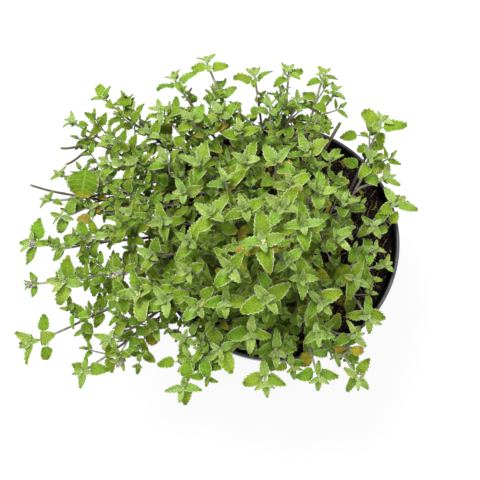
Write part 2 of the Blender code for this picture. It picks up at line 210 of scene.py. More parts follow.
def drilled(piece):
    """Cuts the drainage holes and returns the plain mesh."""
    bm = bmesh.new()
    for i in range(DRAIN_HOLES):
        angle = math.tau * i / DRAIN_HOLES
        place = Matrix.Translation((DRAIN_CIRCLE * math.cos(angle),
                                    DRAIN_CIRCLE * math.sin(angle), 0))
        bmesh.ops.create_cone(bm, cap_ends=True, segments=28, radius1=DRAIN_RADIUS,
                              radius2=DRAIN_RADIUS, depth=4 * FOOT_HEIGHT, matrix=place)
    drill = new_piece("drain_hole_drill", mesh_of(bm, "drain_hole_drill"))
    holes = piece.modifiers.new("drain_holes", "BOOLEAN")
    holes.operation = "DIFFERENCE"
    holes.object = drill
    graph = bpy.context.evaluated_depsgraph_get()
    mesh = bpy.data.meshes.new_from_object(piece.evaluated_get(graph), depsgraph=graph)
    piece.modifiers.remove(holes)
    bpy.data.objects.remove(drill)
    return mesh


def moulded_polypropylene():
    """Black polypropylene from an injection mould: satin, a little grey where it is dusted with peat,
    and a painted highlight on top of the lip; the mould leaves fine drag lines down the wall."""
    made, tree, surface = new_finish("moulded_black_polypropylene")
    place = add_node(tree, "ShaderNodeTexCoord").outputs["Object"]
    parts = add_node(tree, "ShaderNodeSeparateXYZ", {"Vector": place})
    dust = add_node(tree, "ShaderNodeTexNoise",
                    {"Vector": place, "Scale": 1 / (26 * MM), "Detail": 9, "Roughness": 0.66})
    dust_share = add_node(tree, "ShaderNodeMapRange",
                          {"Value": dust, "From Min": 0.46, "From Max": 0.8, "To Max": 0.3})
    # the top of the lip painted lighter grey: a painted highlight
    lip = add_node(tree, "ShaderNodeMapRange",
                   {"Value": parts.outputs["Z"], "From Min": POT_HEIGHT - 1.5 * MM,
                    "From Max": POT_HEIGHT, "To Max": 0.7})
    # real peat dust, plus the painted highlight on the lip
    dust_and_painted_highlight = add_node(tree, "ShaderNodeMath", {0: dust_share, 1: lip},
                    operation="ADD", use_clamp=True)
    colour = add_node(tree, "ShaderNodeMix",
                      {"Factor": dust_and_painted_highlight, 6: linear("#17181a"), 7: linear("#56565a")},
                      data_type="RGBA")
    rough = add_node(tree, "ShaderNodeMapRange", {"Value": dust_and_painted_highlight, "To Min": 0.34, "To Max": 0.62})
    squeezed = add_node(tree, "ShaderNodeMapping", {"Vector": place, "Scale": (1, 1, 0.04)})
    drag = add_node(tree, "ShaderNodeTexNoise",
                    {"Vector": squeezed, "Scale": 1 / (0.8 * MM), "Detail": 3})
    bump = add_node(tree, "ShaderNodeBump",
                    {"Height": drag, "Strength": 0.35, "Distance": 0.05 * MM})
    feed(tree, surface, {"Base Color": colour, "Roughness": rough, "IOR": 1.49, "Normal": bump})
    return made


bm = bmesh.new()
turned(bm, pot_profile(), POT_SIDES)
pot = new_piece("nursery_pot", mesh_of(bm, "nursery_pot"))
pot.data = drilled(pot)
pot.data.materials.clear()
pot.data.materials.append(moulded_polypropylene())
pot.data.shade_smooth()
pot.data.set_sharp_from_angle(angle=math.radians(38))
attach(pot, "root")
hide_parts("pot")

# ---------------------------------------------------------------------------------------------
# Peat. Milled peat pressed round the root ball to 9 mm below the rim, slightly mounded and banked
# up on one side. Its top is all crumbs of many sizes, with pale brown moss fibres between them.
# ---------------------------------------------------------------------------------------------
PEAT_SIDES = 150
PEAT_RINGS = 46
PEAT_GAP = 0.5 * MM
PEAT_MOUND = 2 * MM
PEAT_TOP = POT_HEIGHT - 9 * MM
PEAT_BANK = 3 * MM
PEAT_BANK_HEADING = math.radians(40)
COLLAR_INSIDE = RIM_RADIUS - LIP_WIDTH - 0.5 * MM
PEAT_LUMPS = ((14, 1.3), (5, 1.1), (2.2, 0.6))  # their size and how far they stand up, both in mm
PEAT_TINT = 0.35  # of the body under the crumbs
CRUMB_SPACING = 1.7 * MM
FIBRE_SPACING = 4.2 * MM
STREWN_PATTERNS = 8  # shapes of crumb and of fibre


def grown_mesh(source, tree, values):
    """The plain mesh that a Geometry Nodes tree makes of an object, given its inputs by name."""
    modifier = source.modifiers.new(tree.name, "NODES")
    modifier.node_group = tree
    for item in tree.interface.items_tree:
        if item.in_out == "INPUT" and item.name in values:
            modifier[item.identifier] = values[item.name]
    graph = bpy.context.evaluated_depsgraph_get()
    mesh = bpy.data.meshes.new_from_object(source.evaluated_get(graph), depsgraph=graph)
    source.modifiers.remove(modifier)
    return mesh


def new_tree(name, inputs):
    """An empty Geometry Nodes tree with these extra inputs, and its input and output nodes."""
    tree = bpy.data.node_groups.new(name, "GeometryNodeTree")
    tree.interface.new_socket("Geometry", in_out="INPUT", socket_type="NodeSocketGeometry")
    tree.interface.new_socket("Geometry", in_out="OUTPUT", socket_type="NodeSocketGeometry")
    for label, kind in inputs.items():
        tree.interface.new_socket(label, in_out="INPUT", socket_type=kind)
    return tree, add_node(tree, "NodeGroupInput").outputs, add_node(tree, "NodeGroupOutput")


def pattern_collection(name, meshes):
    """A collection of one hidden object for each mesh, for a tree to take copies from."""
    made = bpy.data.collections.new(name)
    for number, mesh in enumerate(meshes):
        made.objects.link(bpy.data.objects.new(f"{name}_{number:02d}", mesh))
    return made


def clear_patterns(collection):
    for obj in list(collection.objects):
        bpy.data.objects.remove(obj)
    bpy.data.collections.remove(collection)


def peat_height(x, y):
    """How high the lumps stand at this place."""
    return sum(height * MM * noise.noise(Vector((x, y, number * 7.3 * MM)) / (size * MM))
               for number, (size, height) in enumerate(PEAT_LUMPS))


def peat_mesh():
    floor_top = FOOT_HEIGHT + FLOOR
    edge = COLLAR_INSIDE - PEAT_GAP
    sides = [
        (0, floor_top + PEAT_GAP),
        (wall_radius(floor_top) - WALL - 3.2 * MM, floor_top + PEAT_GAP),
        (wall_radius(floor_top) - WALL - PEAT_GAP, floor_top + 2.4 * MM),
        (wall_radius(COLLAR_FOOT) - WALL - PEAT_GAP, COLLAR_FOOT - 4 * MM),
        (edge, COLLAR_FOOT + 1.4 * MM),
    ]
    top = []
    for i in range(1, PEAT_RINGS + 1):
        share = i / PEAT_RINGS
        top.append((edge * (1 - share), PEAT_TOP + PEAT_MOUND * math.sin(0.5 * math.pi * share)))
    bm = bmesh.new()
    rings = turned(bm, sides + top[:-1] + [(0, top[-1][1])], PEAT_SIDES)
    bank = Vector((math.cos(PEAT_BANK_HEADING), math.sin(PEAT_BANK_HEADING), 0)) * PEAT_BANK / edge
    for ring in rings[len(sides):]:
        for vert in ring:
            packed = min(1, (edge - vert.co.xy.length) / (5 * MM))
            vert.co.z += vert.co.dot(bank) + peat_height(vert.co.x, vert.co.y) * packed
    return mesh_of(bm, "peat_fill")


def crumb_mesh(seed):
    """A knobbly lump about one unit across."""
    bm = bmesh.new()
    bmesh.ops.create_icosphere(bm, subdivisions=2 if seed < 2 else 1, radius=0.5)
    for vert in bm.verts:
        vert.co *= 1 + 0.5 * noise.noise(vert.co * 2.3 + Vector((seed, 0, 0)))
    return mesh_of(bm, "crumb")


def skin(bm, rings):
    """A closed skin over rings of corners: four-sided faces between them and a face at each end."""
    for lower, upper in zip(rings, rings[1:]):
        for i in range(len(lower)):
            j = (i + 1) % len(lower)
            bm.faces.new((lower[i], lower[j], upper[j], upper[i]))
    bm.faces.new(rings[0][::-1])
    bm.faces.new(rings[-1])
    bmesh.ops.recalc_face_normals(bm, faces=bm.faces)


def fibre_mesh(seed):
    """A bent strand about one unit long, four-sided."""
    vary = random.Random(seed)
    bm = bmesh.new()
    steps = 5
    bend = [vary.uniform(-0.25, 0.25) for _ in range(3)]
    rings = []
    for i in range(steps + 1):
        t = i / steps
        middle = Vector((t - 0.5, bend[0] * math.sin(math.pi * t) + bend[1] * t * t,
                         0.12 * math.sin(math.pi * t) + bend[2] * 0.3 * t))
        width = 0.022 * (1 - 0.5 * t)
        rings.append([bm.verts.new(middle + Vector((0, math.cos(a) * width, math.sin(a) * width)))
                      for a in (0, math.pi / 2, math.pi, 1.5 * math.pi)])
    skin(bm, rings)
    return mesh_of(bm, "fibre")


def scatter_tree():
    """Copies of a few patterns strewn over the upward faces of a surface."""
    tree, given, out = new_tree("strewn_pieces", {
        "Patterns": "NodeSocketCollection", "Finish": "NodeSocketMaterial",
        "Spacing": "NodeSocketFloat", "Smallest": "NodeSocketFloat", "Largest": "NodeSocketFloat",
        "Tilt": "NodeSocketFloat", "Raise": "NodeSocketFloat", "Age": "NodeSocketFloat",
        "Within": "NodeSocketFloat", "Seed": "NodeSocketInt"})
    normal = add_node(tree, "GeometryNodeInputNormal")
    facing = add_node(tree, "ShaderNodeSeparateXYZ", {"Vector": normal})
    upward = add_node(tree, "FunctionNodeCompare", {0: facing.outputs["Z"], 1: 0.4},
                      operation="GREATER_THAN")
    place = add_node(tree, "GeometryNodeInputPosition")
    flat = add_node(tree, "ShaderNodeVectorMath", {0: place, 1: (1, 1, 0)}, operation="MULTIPLY")
    outwards = add_node(tree, "ShaderNodeVectorMath", {0: flat}, operation="LENGTH")
    inside = add_node(tree, "FunctionNodeCompare", {0: outwards, 1: given["Within"]},
                      operation="LESS_THAN")
    both = add_node(tree, "FunctionNodeBooleanMath", {0: upward, 1: inside}, operation="AND")
    top = add_node(tree, "GeometryNodeSeparateGeometry",
                   {"Geometry": given["Geometry"], "Selection": both}, domain="FACE")
    spread = add_node(tree, "GeometryNodeDistributePointsOnFaces",
                      {"Mesh": top, "Distance Min": given["Spacing"], "Density Max": 2.0e6,
                       "Seed": given["Seed"]}, distribute_method="POISSON")
    tint = add_node(tree, "FunctionNodeRandomValue", {"Seed": 3}, data_type="FLOAT")
    marked = add_node(tree, "GeometryNodeStoreNamedAttribute",
                      {"Geometry": spread, "Name": "tint", "Value": tint},
                      data_type="FLOAT", domain="POINT")
    aged = add_node(tree, "GeometryNodeStoreNamedAttribute",
                    {"Geometry": marked, "Name": "age", "Value": given["Age"]},
                    data_type="FLOAT", domain="POINT")
    up = add_node(tree, "ShaderNodeCombineXYZ", {"Z": given["Raise"]})
    raised = add_node(tree, "GeometryNodeSetPosition", {"Geometry": aged, "Offset": up})
    choices = add_node(tree, "GeometryNodeCollectionInfo",
                       {"Collection": given["Patterns"], "Separate Children": True,
                        "Reset Children": True})
    most = add_node(tree, "ShaderNodeCombineXYZ",
                    {"X": given["Tilt"], "Y": given["Tilt"], "Z": math.tau})
    turn = add_node(tree, "FunctionNodeRandomValue", {1: most, "Seed": 5}, data_type="FLOAT_VECTOR")
    size = add_node(tree, "FunctionNodeRandomValue",
                    {2: given["Smallest"], 3: given["Largest"], "Seed": 6}, data_type="FLOAT")
    kind = add_node(tree, "FunctionNodeRandomValue", {4: 0, 5: STREWN_PATTERNS - 1, "Seed": 7},
                    data_type="INT")
    copies = add_node(tree, "GeometryNodeInstanceOnPoints",
                      {"Points": raised, "Instance": choices, "Pick Instance": True,
                       "Instance Index": kind, "Rotation": turn, "Scale": size})
    solid = add_node(tree, "GeometryNodeRealizeInstances", {"Geometry": copies})
    finished = add_node(tree, "GeometryNodeSetMaterial",
                        {"Geometry": solid, "Material": given["Finish"]})
    feed(tree, out, {"Geometry": finished})
    return tree


def set_ramp(node, stops):
    """Gives a colour ramp these (place, hex colour) stops."""
    marks = node.color_ramp.elements
    while len(marks) < len(stops):
        marks.new(1)
    for mark, (place, code) in zip(marks, stops):
        mark.position = place
        mark.color = linear(code)


def milled_peat():
    """Milled sphagnum peat: near black when damp, brown where it has dried on the high crumbs."""
    made, tree, surface = new_finish("milled_peat")
    place = add_node(tree, "ShaderNodeTexCoord").outputs["Object"]
    tint = add_node(tree, "ShaderNodeAttribute", attribute_name="tint").outputs["Fac"]
    patch = add_node(tree, "ShaderNodeTexNoise",
                     {"Vector": place, "Scale": 1 / (2.5 * MM), "Detail": 6})
    mixed = add_node(tree, "ShaderNodeMath", {0: tint, 1: patch}, operation="MULTIPLY")
    colour = add_node(tree, "ShaderNodeValToRGB", {"Fac": mixed})
    set_ramp(colour, ((0.0, "#090605"), (0.22, "#160f0b"), (0.42, "#2e2219"), (0.6, "#725a40"),
                      (0.8, "#c6ac84")))
    grain = add_node(tree, "ShaderNodeTexNoise",
                     {"Vector": place, "Scale": 1 / (0.7 * MM), "Detail": 4})
    bump = add_node(tree, "ShaderNodeBump",
                    {"Height": grain, "Strength": 0.7, "Distance": 0.4 * MM})
    feed(tree, surface, {"Base Color": colour, "Roughness": 0.93, "Specular IOR Level": 0.25,
                         "Normal": bump})
    return made


def moss_fibre():
    """Dried sphagnum strands: pale straw to brown, matte."""
    made, tree, surface = new_finish("dried_moss_fibre")
    tint = add_node(tree, "ShaderNodeAttribute", attribute_name="tint").outputs["Fac"]
    colour = add_node(tree, "ShaderNodeValToRGB", {"Fac": tint})
    set_ramp(colour, ((0.0, "#32241a"), (0.45, "#76593f"), (0.8, "#ae8e66"), (1.0, "#d2ba8e")))
    feed(tree, surface, {"Base Color": colour, "Roughness": 0.85})
    return made


peat_finish = milled_peat()
peat = new_piece("peat_fill", peat_mesh())
peat.data.materials.append(peat_finish)
peat.data.shade_smooth()
tints = peat.data.attributes.new("tint", "FLOAT", "POINT")
tints.data.foreach_set("value", [PEAT_TINT] * len(peat.data.vertices))
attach(peat, "root")
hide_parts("peat")

strewing = scatter_tree()


def strew(name, meshes, finish, values):
    """A piece of many small copies of these meshes, strewn over the peat."""
    patterns = pattern_collection(f"{name}_pattern", meshes)
    strewn = new_piece(name, peat.data.copy())
    strewn.data = grown_mesh(strewn, strewing, {"Patterns": patterns, "Finish": finish, **values})
    clear_patterns(patterns)
    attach(strewn, "root")


strew("peat_crumbs", [crumb_mesh(seed) for seed in range(STREWN_PATTERNS)], peat_finish,
      {"Spacing": CRUMB_SPACING, "Smallest": 0.8 * MM, "Largest": 3.2 * MM, "Tilt": math.tau,
       "Raise": 0.1 * MM, "Within": COLLAR_INSIDE - 1.5 * MM, "Seed": 11})
strew("peat_fibres", [fibre_mesh(seed) for seed in range(STREWN_PATTERNS)], moss_fibre(),
      {"Spacing": FIBRE_SPACING, "Smallest": 3 * MM, "Largest": 11 * MM, "Tilt": 0.25,
       "Raise": 0.7 * MM, "Within": COLLAR_INSIDE - 6 * MM, "Seed": 23})

# ---------------------------------------------------------------------------------------------
# Shoots. Each is one stem out of the root ball, square in section and downy, with its leaves in
# opposite pairs, each pair turned a quarter round from the last, and small side sprigs in the
# leaf axils. The clump leans to one side, where its longest shoots trail out over the rim.
# ---------------------------------------------------------------------------------------------
CROWN_SHARE = 0.27  # feet of the stems stand this share of their reach from the crown's middle
CROWN = Vector((0, 0, 0))
SECOND_CROWN = Vector((22, -10, 0)) * MM  # a second rooted cutting: the right-hand shoots
RIM_CLEARANCE = 3 * MM
ROOTED = 5 * MM  # a stem goes on down into the peat
STEM_FOOT = 1.35 * MM
STEM_TIP = 0.85 * MM
STEM_SQUARE = 1.5  # the side of its square section, in radii
STEM_ROUNDING = 0.45  # of the section's corners, in radii
STEM_STEPS = 34
BRANCH_AT = 0.55
BRANCH_THICKNESS = 0.8
BRANCH_STEPS = 22
NODE_SWELLING = 0.3
NODE_LENGTH = 1.3 * MM
STEM_WANDER = 1.1 * MM
WANDER_LENGTH = 16 * MM  # from one kink to the next
WANDER_SHIFTS = (0, 40, 80)  # where in the noise the kinks along X, Y and Z are read
WOODY_FROM = 95 * MM  # below the tip a stem is as brown as it gets
LIGHT_SEEKING = (0.42, 0.85)  # how far a leaf turns its face up, on an upright and on a level stem
MOST_RISE = (1.0, 0.4)  # steepest slope of a leaf's midrib, on the same two
MOST_DROOP = -0.35
BENT_BACK = math.radians(120)


class Tip(NamedTuple):
    """A growing tip: its place in mm from the pot's base, the stem's lean there in degrees from
    upright, the heading of its largest leaf pair, the length of those leaves in mm and, where it
    is in bud, how far its flower buds have turned from pale green, 0, to mauve, 1. The stem may be
    bare for some way below the tip's own leaves, and for more of its foot, both in mm."""

    x: float
    y: float
    z: float
    lean: float
    heading: float
    leaf: float
    buds: float = -1
    bare: float = 0
    foot: float = 0


# Each shoot is a main tip and, on some, the tips of one or two side branches.
SHOOTS = {
    # trailing over the left side of the rim
    "trailing": (
        (Tip(-161, -75, 138, 75, 10, 15, bare=34),),
        (Tip(-140, -37, 151, 40, 78, 16), Tip(-164, -36, 140, 80, 90, 8, 1.0, 24)),
        (Tip(-163, -10, 148, 60, 75, 14, 0.8), Tip(-143, -14, 152, 50, 30, 11)),
        (Tip(-148, 39, 150, 60, 130, 8), Tip(-146, 9, 146, 60, 60, 11),
         Tip(-156, 21, 147, 60, 150, 8)),
        (Tip(-116, 30, 155, 55, 20, 10),),
        (Tip(-124, 14, 150, 45, 20, 10, bare=24), Tip(-122, -8, 155, 45, 90, 12)),
        (Tip(-127, -94, 137, 75, 175, 13), Tip(-102, -88, 140, 70, 45, 8, 0.9)),
        (Tip(-108, -75, 150, 45, 60, 13),),
        (Tip(-120, 93, 158, 60, 120, 11), Tip(-98, 84, 157, 60, 30, 9)),
        (Tip(-141, 77, 152, 65, 160, 10),),
        (Tip(-110, 52, 175, 40, 150, 14), Tip(-94, 37, 172, 35, 30, 12),
         Tip(-112, 41, 166, 45, 60, 12)),
        (Tip(-78, 74, 175, 55, 0, 12), Tip(-86, 60, 170, 40, 60, 11)),
        (Tip(-68, 94, 180, 68, 15, 13), Tip(-71, 75, 174, 45, 60, 11)),
    ),
    # leaning out over the rim at the back
    "back": (
        (Tip(-47, 106, 182, 70, 0, 12), Tip(-39, 88, 174, 40, 0, 12)),
        (Tip(-15, 97, 180, 70, 0, 13),),
        (Tip(8, 101, 180, 70, 40, 12), Tip(14, 80, 176, 40, 10, 11)),
        (Tip(-5, 74, 180, 40, 20, 12), Tip(4, 86, 177, 50, 0, 11)),
        (Tip(32, 101, 176, 70, 20, 11), Tip(40, 90, 172, 50, 30, 10)),
        (Tip(26, 69, 170, 40, 0, 12),),
        (Tip(-25, 50, 195, 20, 0, 12), Tip(-37, 66, 188, 30, 30, 12)),
        (Tip(-56, 60, 190, 30, 45, 12),),
    ),
    # the sparse side, where the peat shows
    "right": (
        (Tip(72, 74, 158, 66, 140, 15, foot=46), Tip(66, 51, 152, 50, 165, 13)),
        (Tip(64, 46, 160, 45, 60, 14, bare=32), Tip(75, 36, 150, 55, 20, 12, bare=30)),
        (Tip(83, 21, 142, 65, 40, 15, bare=50), Tip(64, 2, 146, 55, 40, 12, bare=30)),
        (Tip(50, -38, 160, 45, 70, 13), Tip(74, -22, 140, 60, 30, 9),
         Tip(65, -12, 144, 50, 80, 12)),
        (Tip(60, -60, 142, 60, 0, 13),),
        (Tip(41, 8, 180, 30, 80, 13), Tip(44, -5, 164, 45, 30, 12)),
        (Tip(32, 33, 190, 25, 60, 13), Tip(17, 38, 192, 25, 20, 14)),
    ),
    # leaning out over the rim at the front
    "front": (
        (Tip(51, -100, 145, 65, 60, 12), Tip(46, -79, 140, 60, 50, 10, 0.4),
         Tip(50, -72, 150, 50, 30, 11)),
        (Tip(25, -99, 150, 60, 0, 12), Tip(37, -84, 146, 55, 20, 10)),
        (Tip(-9, -102, 155, 60, 8, 14), Tip(-2, -84, 160, 45, 0, 14),
         Tip(9, -93, 150, 60, 10, 10)),
        (Tip(-38, -83, 155, 45, 120, 15), Tip(-60, -75, 155, 40, 60, 12),
         Tip(-47, -92, 150, 60, 30, 10)),
        (Tip(-61, -105, 145, 65, 80, 15), Tip(-57, -87, 150, 45, 0, 12)),
        (Tip(22, -76, 175, 40, 100, 13),),
        (Tip(-18, -77, 180, 35, 0, 13),),
    ),
    # the tall middle of the clump
    "middle": (
        (Tip(-12, -37, 240, 5, 100, 16, 0.0), Tip(3, -44, 226, 20, 40, 10)),
        (Tip(-87, -50, 175, 20, 100, 17, 0.15),),
        (Tip(-94, 2, 175, 25, 60, 12), Tip(-73, -8, 188, 20, 100, 12)),
        (Tip(-72, 34, 185, 25, 20, 13),),
        (Tip(-49, 24, 205, 15, 80, 15), Tip(-59, 6, 202, 15, 10, 12)),
        (Tip(-41, -16, 225, 10, 50, 15), Tip(-33, 9, 214, 12, 20, 12)),
        (Tip(-22, -13, 226, 10, 20, 13),),
        (Tip(-55, -26, 206, 15, 60, 13), Tip(-56, -43, 200, 25, 30, 12)),
        (Tip(-30, -48, 225, 15, 45, 13),),
        (Tip(-9, -63, 214, 25, 30, 15),),
        (Tip(0, -12, 226, 5, 60, 15), Tip(5, 4, 224, 8, 20, 12)),
        (Tip(11, -50, 212, 20, 95, 12), Tip(24, -60, 190, 35, 45, 13)),
        (Tip(-21, 24, 210, 10, 70, 13),),
        (Tip(-3, 21, 215, 10, 130, 13),),
        (Tip(11, -24, 230, 10, 100, 16),),
        (Tip(-50, -62, 190, 30, 45, 13), Tip(-33, -63, 204, 30, 0, 12)),
        (Tip(-80, -27, 180, 25, 60, 12), Tip(-101, -36, 168, 40, 40, 9, 0.8)),
        (Tip(-70, -56, 180, 30, 20, 15),),
        (Tip(36, -20, 190, 25, 40, 12),),
        (Tip(23, 6, 206, 15, 80, 12),),
    ),
}

# Leaf pairs at a growing tip: distance below the tip in mm, share of the full leaf length, angle
# off the stem in degrees, age from 0, just open, to 1, withered, and the pattern to use.
TIP_PAIRS = (
    (0.3, 0.28, 26, 0.02, "bud"),
    (1.0, 0.54, 40, 0.1, "young"),
    (2.5, 0.82, 50, 0.18, "young"),
    (5.6, 0.97, 62, 0.3, "grown"),
)
# Below them there is a pair every internode, down to where the stem is bare.
INTERNODE = 14  # in mm
LEGGY_INTERNODE = 15.5  # on the shoots that lean out over the rim
# How far up from the peat a stem is bare, in mm, and how far out from its fork a side branch is.
BARE_FEET = {"trailing": 30, "back": 26, "right": 6, "front": 16, "middle": 32}
BARE_FORK = 5
LOWER_LENGTHS = (0.94, 0.88, 0.82, 0.74, 0.66)
LOWER_ANGLES = (68, 78, 84, 90, 94)
LOWER_AGES = (0.42, 0.52, 0.6, 0.68, 0.74)
SPRIG_TIP_PAIRS = (
    (0.3, 0.30, 16, 0.1, "bud"),
    (1.4, 0.5, 34, 0.2, "young"),
    (5.5, 0.72, 52, 0.32, "young"),
    (13, 0.85, 66, 0.44, "grown"),
    (25, 0.85, 76, 0.52, "grown"),
)
SPRIG_LENGTHS = (3, 9, 15, 20, 24)  # in mm, from the highest leaf axils down
SPRIG_STEPS = 6
SPRIG_AGE = 0.16
SPRIG_DRAWS = 1000  # what sets the sprigs' random draws apart from those of the leaves
LEGGY_LEAN = 49  # in degrees; a shoot that leans more hangs over the rim, its sprigs drawn out
LEGGY_SPRIGS = 1.3
LEGGY_TIP_LEAVES = 1.04
LEAST_LOWER_LEAF = 13  # in mm: the lower leaves are full grown even where the tip's are small
SPRIG_SHARE = 0.75  # of the leaf axils
LEGGY_SPRIG_SHARE = 0.65
# Where a leaf looks for room, one after the other: degrees aside, degrees more off the stem, and
# the share of its length that it then grows to.
LEAF_TRIES = ((0, 0, 1.0), (14, 6, 1.0), (-14, -6, 1.0), (0, -16, 0.94), (26, 10, 0.88),
              (-26, 10, 0.88), (0, 20, 0.8), (38, -12, 0.74), (-38, -12, 0.74), (0, -28, 0.6))
OLDER = 0.4  # the age from which a leaf may wither, and drops where it finds no room
WITHERED_SHARE = 0.06  # of the older leaves
LEAF_ASIDE = 7  # in degrees, the most that a leaf stands out of line
LEAF_ROLL = 22  # in degrees, the most that it is turned about its midrib

# Leaves that hang well clear of their shoot, each on a long stalk: the shoot, the place in mm where
# the blade's own stalk starts, its heading, its length in mm, its pattern and its age.
LONE_LEAVES = (
    ("shoot_trailing_05", (-126, 43, 160), 262, 19, "round", 0.62),
    ("shoot_trailing_09", (-103, 81, 160), 95, 9, "round", 0.5),
    ("shoot_trailing_09", (-117, 90, 158), 116, 12, "grown", 0.35),
    ("shoot_trailing_06", (-122, 4, 149), 160, 10, "old", 0.98),
    ("shoot_trailing_06", (-124, 9, 149), 60, 8, "old", 0.95),
    ("shoot_trailing_01", (-148, -75, 142), 262, 9, "old", 0.5),
    ("shoot_trailing_01", (-151, -70, 143), 95, 12, "grown", 0.35),
    ("shoot_front_04", (-48, -86, 151), 285, 12, "grown", 0.4),
    ("shoot_front_05", (-64, -88, 150), 190, 12, "grown", 0.4),
    ("shoot_front_01", (44, -82, 146), 10, 9, "old", 0.93),
    ("shoot_middle_02", (-72, -46, 168), 190, 18, "round", 0.42),
    ("shoot_right_01", (58, 67, 150), 185, 12, "grown", 0.45),
    ("shoot_right_01", (71, 70, 152), 272, 12, "grown", 0.35),
    ("shoot_right_03", (77, 5, 140), 62, 11, "grown", 0.3),
    ("shoot_right_03", (76, 4, 140), 205, 10, "grown", 0.35),
    ("shoot_middle_19", (35, -28, 160), 315, 12, "round", 0.72),
    ("shoot_middle_12", (21, -33, 165), 330, 10, "old", 0.76),
)
LONE_STALK = 0.45 * MM
LONE_AGE = 0.2

UP = Vector((0, 0, 1))
BUDS = 15
BUD_LENGTH = 3.7 * MM
BUD_KNOT = 4.5 * MM  # how far down from the tip they sit
GOLDEN_ANGLE = 137.5
STUB_SHARE = 0.07  # of the side shoots below the tips, which have been cut off short
STUB_LENGTHS = (5, 12)  # in mm
STUB_RADIUS = 0.95 * MM
STUB_AGE = 0.5


class Leaf(NamedTuple):
    place: Vector
    turn: Quaternion
    length: float
    pattern: str
    age: float


class Growth:
    """What one shoot has grown: its stems as (points, radii, ages) and its leaves."""

    def __init__(self):
        self.stems = []
        self.leaves = []


def bezier(corners, steps):
    """Points along a cubic curve."""
    a, b, c, d = corners
    points = []
    for i in range(steps + 1):
        t = i / steps
        s = 1 - t
        points.append(s**3 * a + 3 * s * s * t * b + 3 * s * t * t * c + t**3 * d)
    return points


def leaning(outward, lean):
    """The direction of a stem's end that leans outward by so many degrees from upright."""
    angle = math.radians(lean)
    return outward * math.sin(angle) + UP * math.cos(angle)


def stem_curve(foot, end, lean):
    """Handles of the curve that a shoot takes: up out of the crown, then over towards its tip."""
    run = Vector((end.x - foot.x, end.y - foot.y, 0))
    rise = max(end.z - foot.z, 0)
    low = foot + run * 0.16 + UP * (0.45 * rise + 0.24 * run.length + RIM_CLEARANCE)
    high = end - leaning(run.normalized(), lean) * 0.34 * (end - foot).length
    high.z = max(high.z, end.z - 0.8 * rise)
    return foot, low, high, end


def across_stem(direction, heading):
    """The direction square to a stem that has this compass heading once the stem is upright."""
    turn = math.radians(heading)
    return UP.rotation_difference(direction) @ Vector((math.cos(turn), math.sin(turn), 0))


def main_stem(name, crown, end, lean, seed):
    """Points of a stem from the foot of its solid to its end."""
    foot = Vector((crown.x + end.x * CROWN_SHARE, crown.y + end.y * CROWN_SHARE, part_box(name)[0].z))
    return wandering(bezier(stem_curve(foot, end, lean), STEM_STEPS), seed)


def side_branch(stem, fork_at, end, lean, steps):
    """Points of a branch that leaves a stem at this share of the stem's length."""
    fork, direction = point_below_tip(stem, (1 - fork_at) * length_of(stem))
    outward = Vector((end.x - fork.x, end.y - fork.y, 0)).normalized()
    reach = 0.35 * (end - fork).length
    near_end = end - leaning(outward, lean) * reach
    return bezier((fork, fork + direction * reach, near_end, end), steps)


def point_below_tip(path, distance):
    """The place and direction on the path this far back from its end, or None past its start."""
    for lower, upper in zip(reversed(path[:-1]), reversed(path)):
        length = (upper - lower).length
        if distance <= length:
            return upper.lerp(lower, distance / length), (upper - lower).normalized()
        distance -= length
    return None


def length_of(path):
    return sum((b - a).length for a, b in zip(path, path[1:]))


def wandering(path, seed):
    """The path with the slight kinks that a stem has from node to node; its ends stay put."""
    moved = []
    for i, point in enumerate(path):
        share = i / (len(path) - 1)
        spot = point / WANDER_LENGTH + Vector((seed, 0, 0))
        kink = Vector([noise.noise(spot + Vector((0, 0, shift))) for shift in WANDER_SHIFTS])
        moved.append(point + kink * STEM_WANDER * math.sin(math.pi * share))
    return moved


def stem_radii(path, start, end, nodes):
    """Radii along a tapering stem that swells a little at its nodes, the leaf pairs, which are
    given as distances from the tip."""
    total = length_of(path)
    radii = []
    gone = 0
    for i, point in enumerate(path):
        gone += (point - path[i - 1]).length if i else 0
        to_tip = total - gone
        swelling = max([math.exp(-((to_tip - node) / NODE_LENGTH) ** 2) for node in nodes] or [0])
        radii.append((start + (end - start) * gone / total) * (1 + NODE_SWELLING * swelling))
    return radii


def leaf_frame(stem_direction, heading, off_stem):
    """A leaf's directions along its midrib and out of its upper face. On a leaning stem the leaf
    above bends back until it lies flatter, and every leaf turns its face to the light."""
    side = across_stem(stem_direction, heading)
    level = 1 - max(0, stem_direction.z)
    steepest = MOST_RISE[0] + (MOST_RISE[1] - MOST_RISE[0]) * min(1, 2 * level)
    off = math.radians(off_stem)
    while True:
        along = stem_direction * math.cos(off) + side * math.sin(off)
        if along.z <= steepest or off > BENT_BACK:
            break
        off += BENT_BACK / 16
    along.z = max(along.z, MOST_DROOP)
    along.normalize()
    seeking = LIGHT_SEEKING[0] + (LIGHT_SEEKING[1] - LIGHT_SEEKING[0]) * level
    face = (stem_direction * math.sin(off) - side * math.cos(off)).lerp(UP, seeking)
    return along, (face - along * face.dot(along)).normalized()


def turned_to(along, face):
    """The turn that lays a leaf's midrib along one direction and its face out along the other."""
    return Matrix((along, face.cross(along), face)).transposed().to_quaternion()


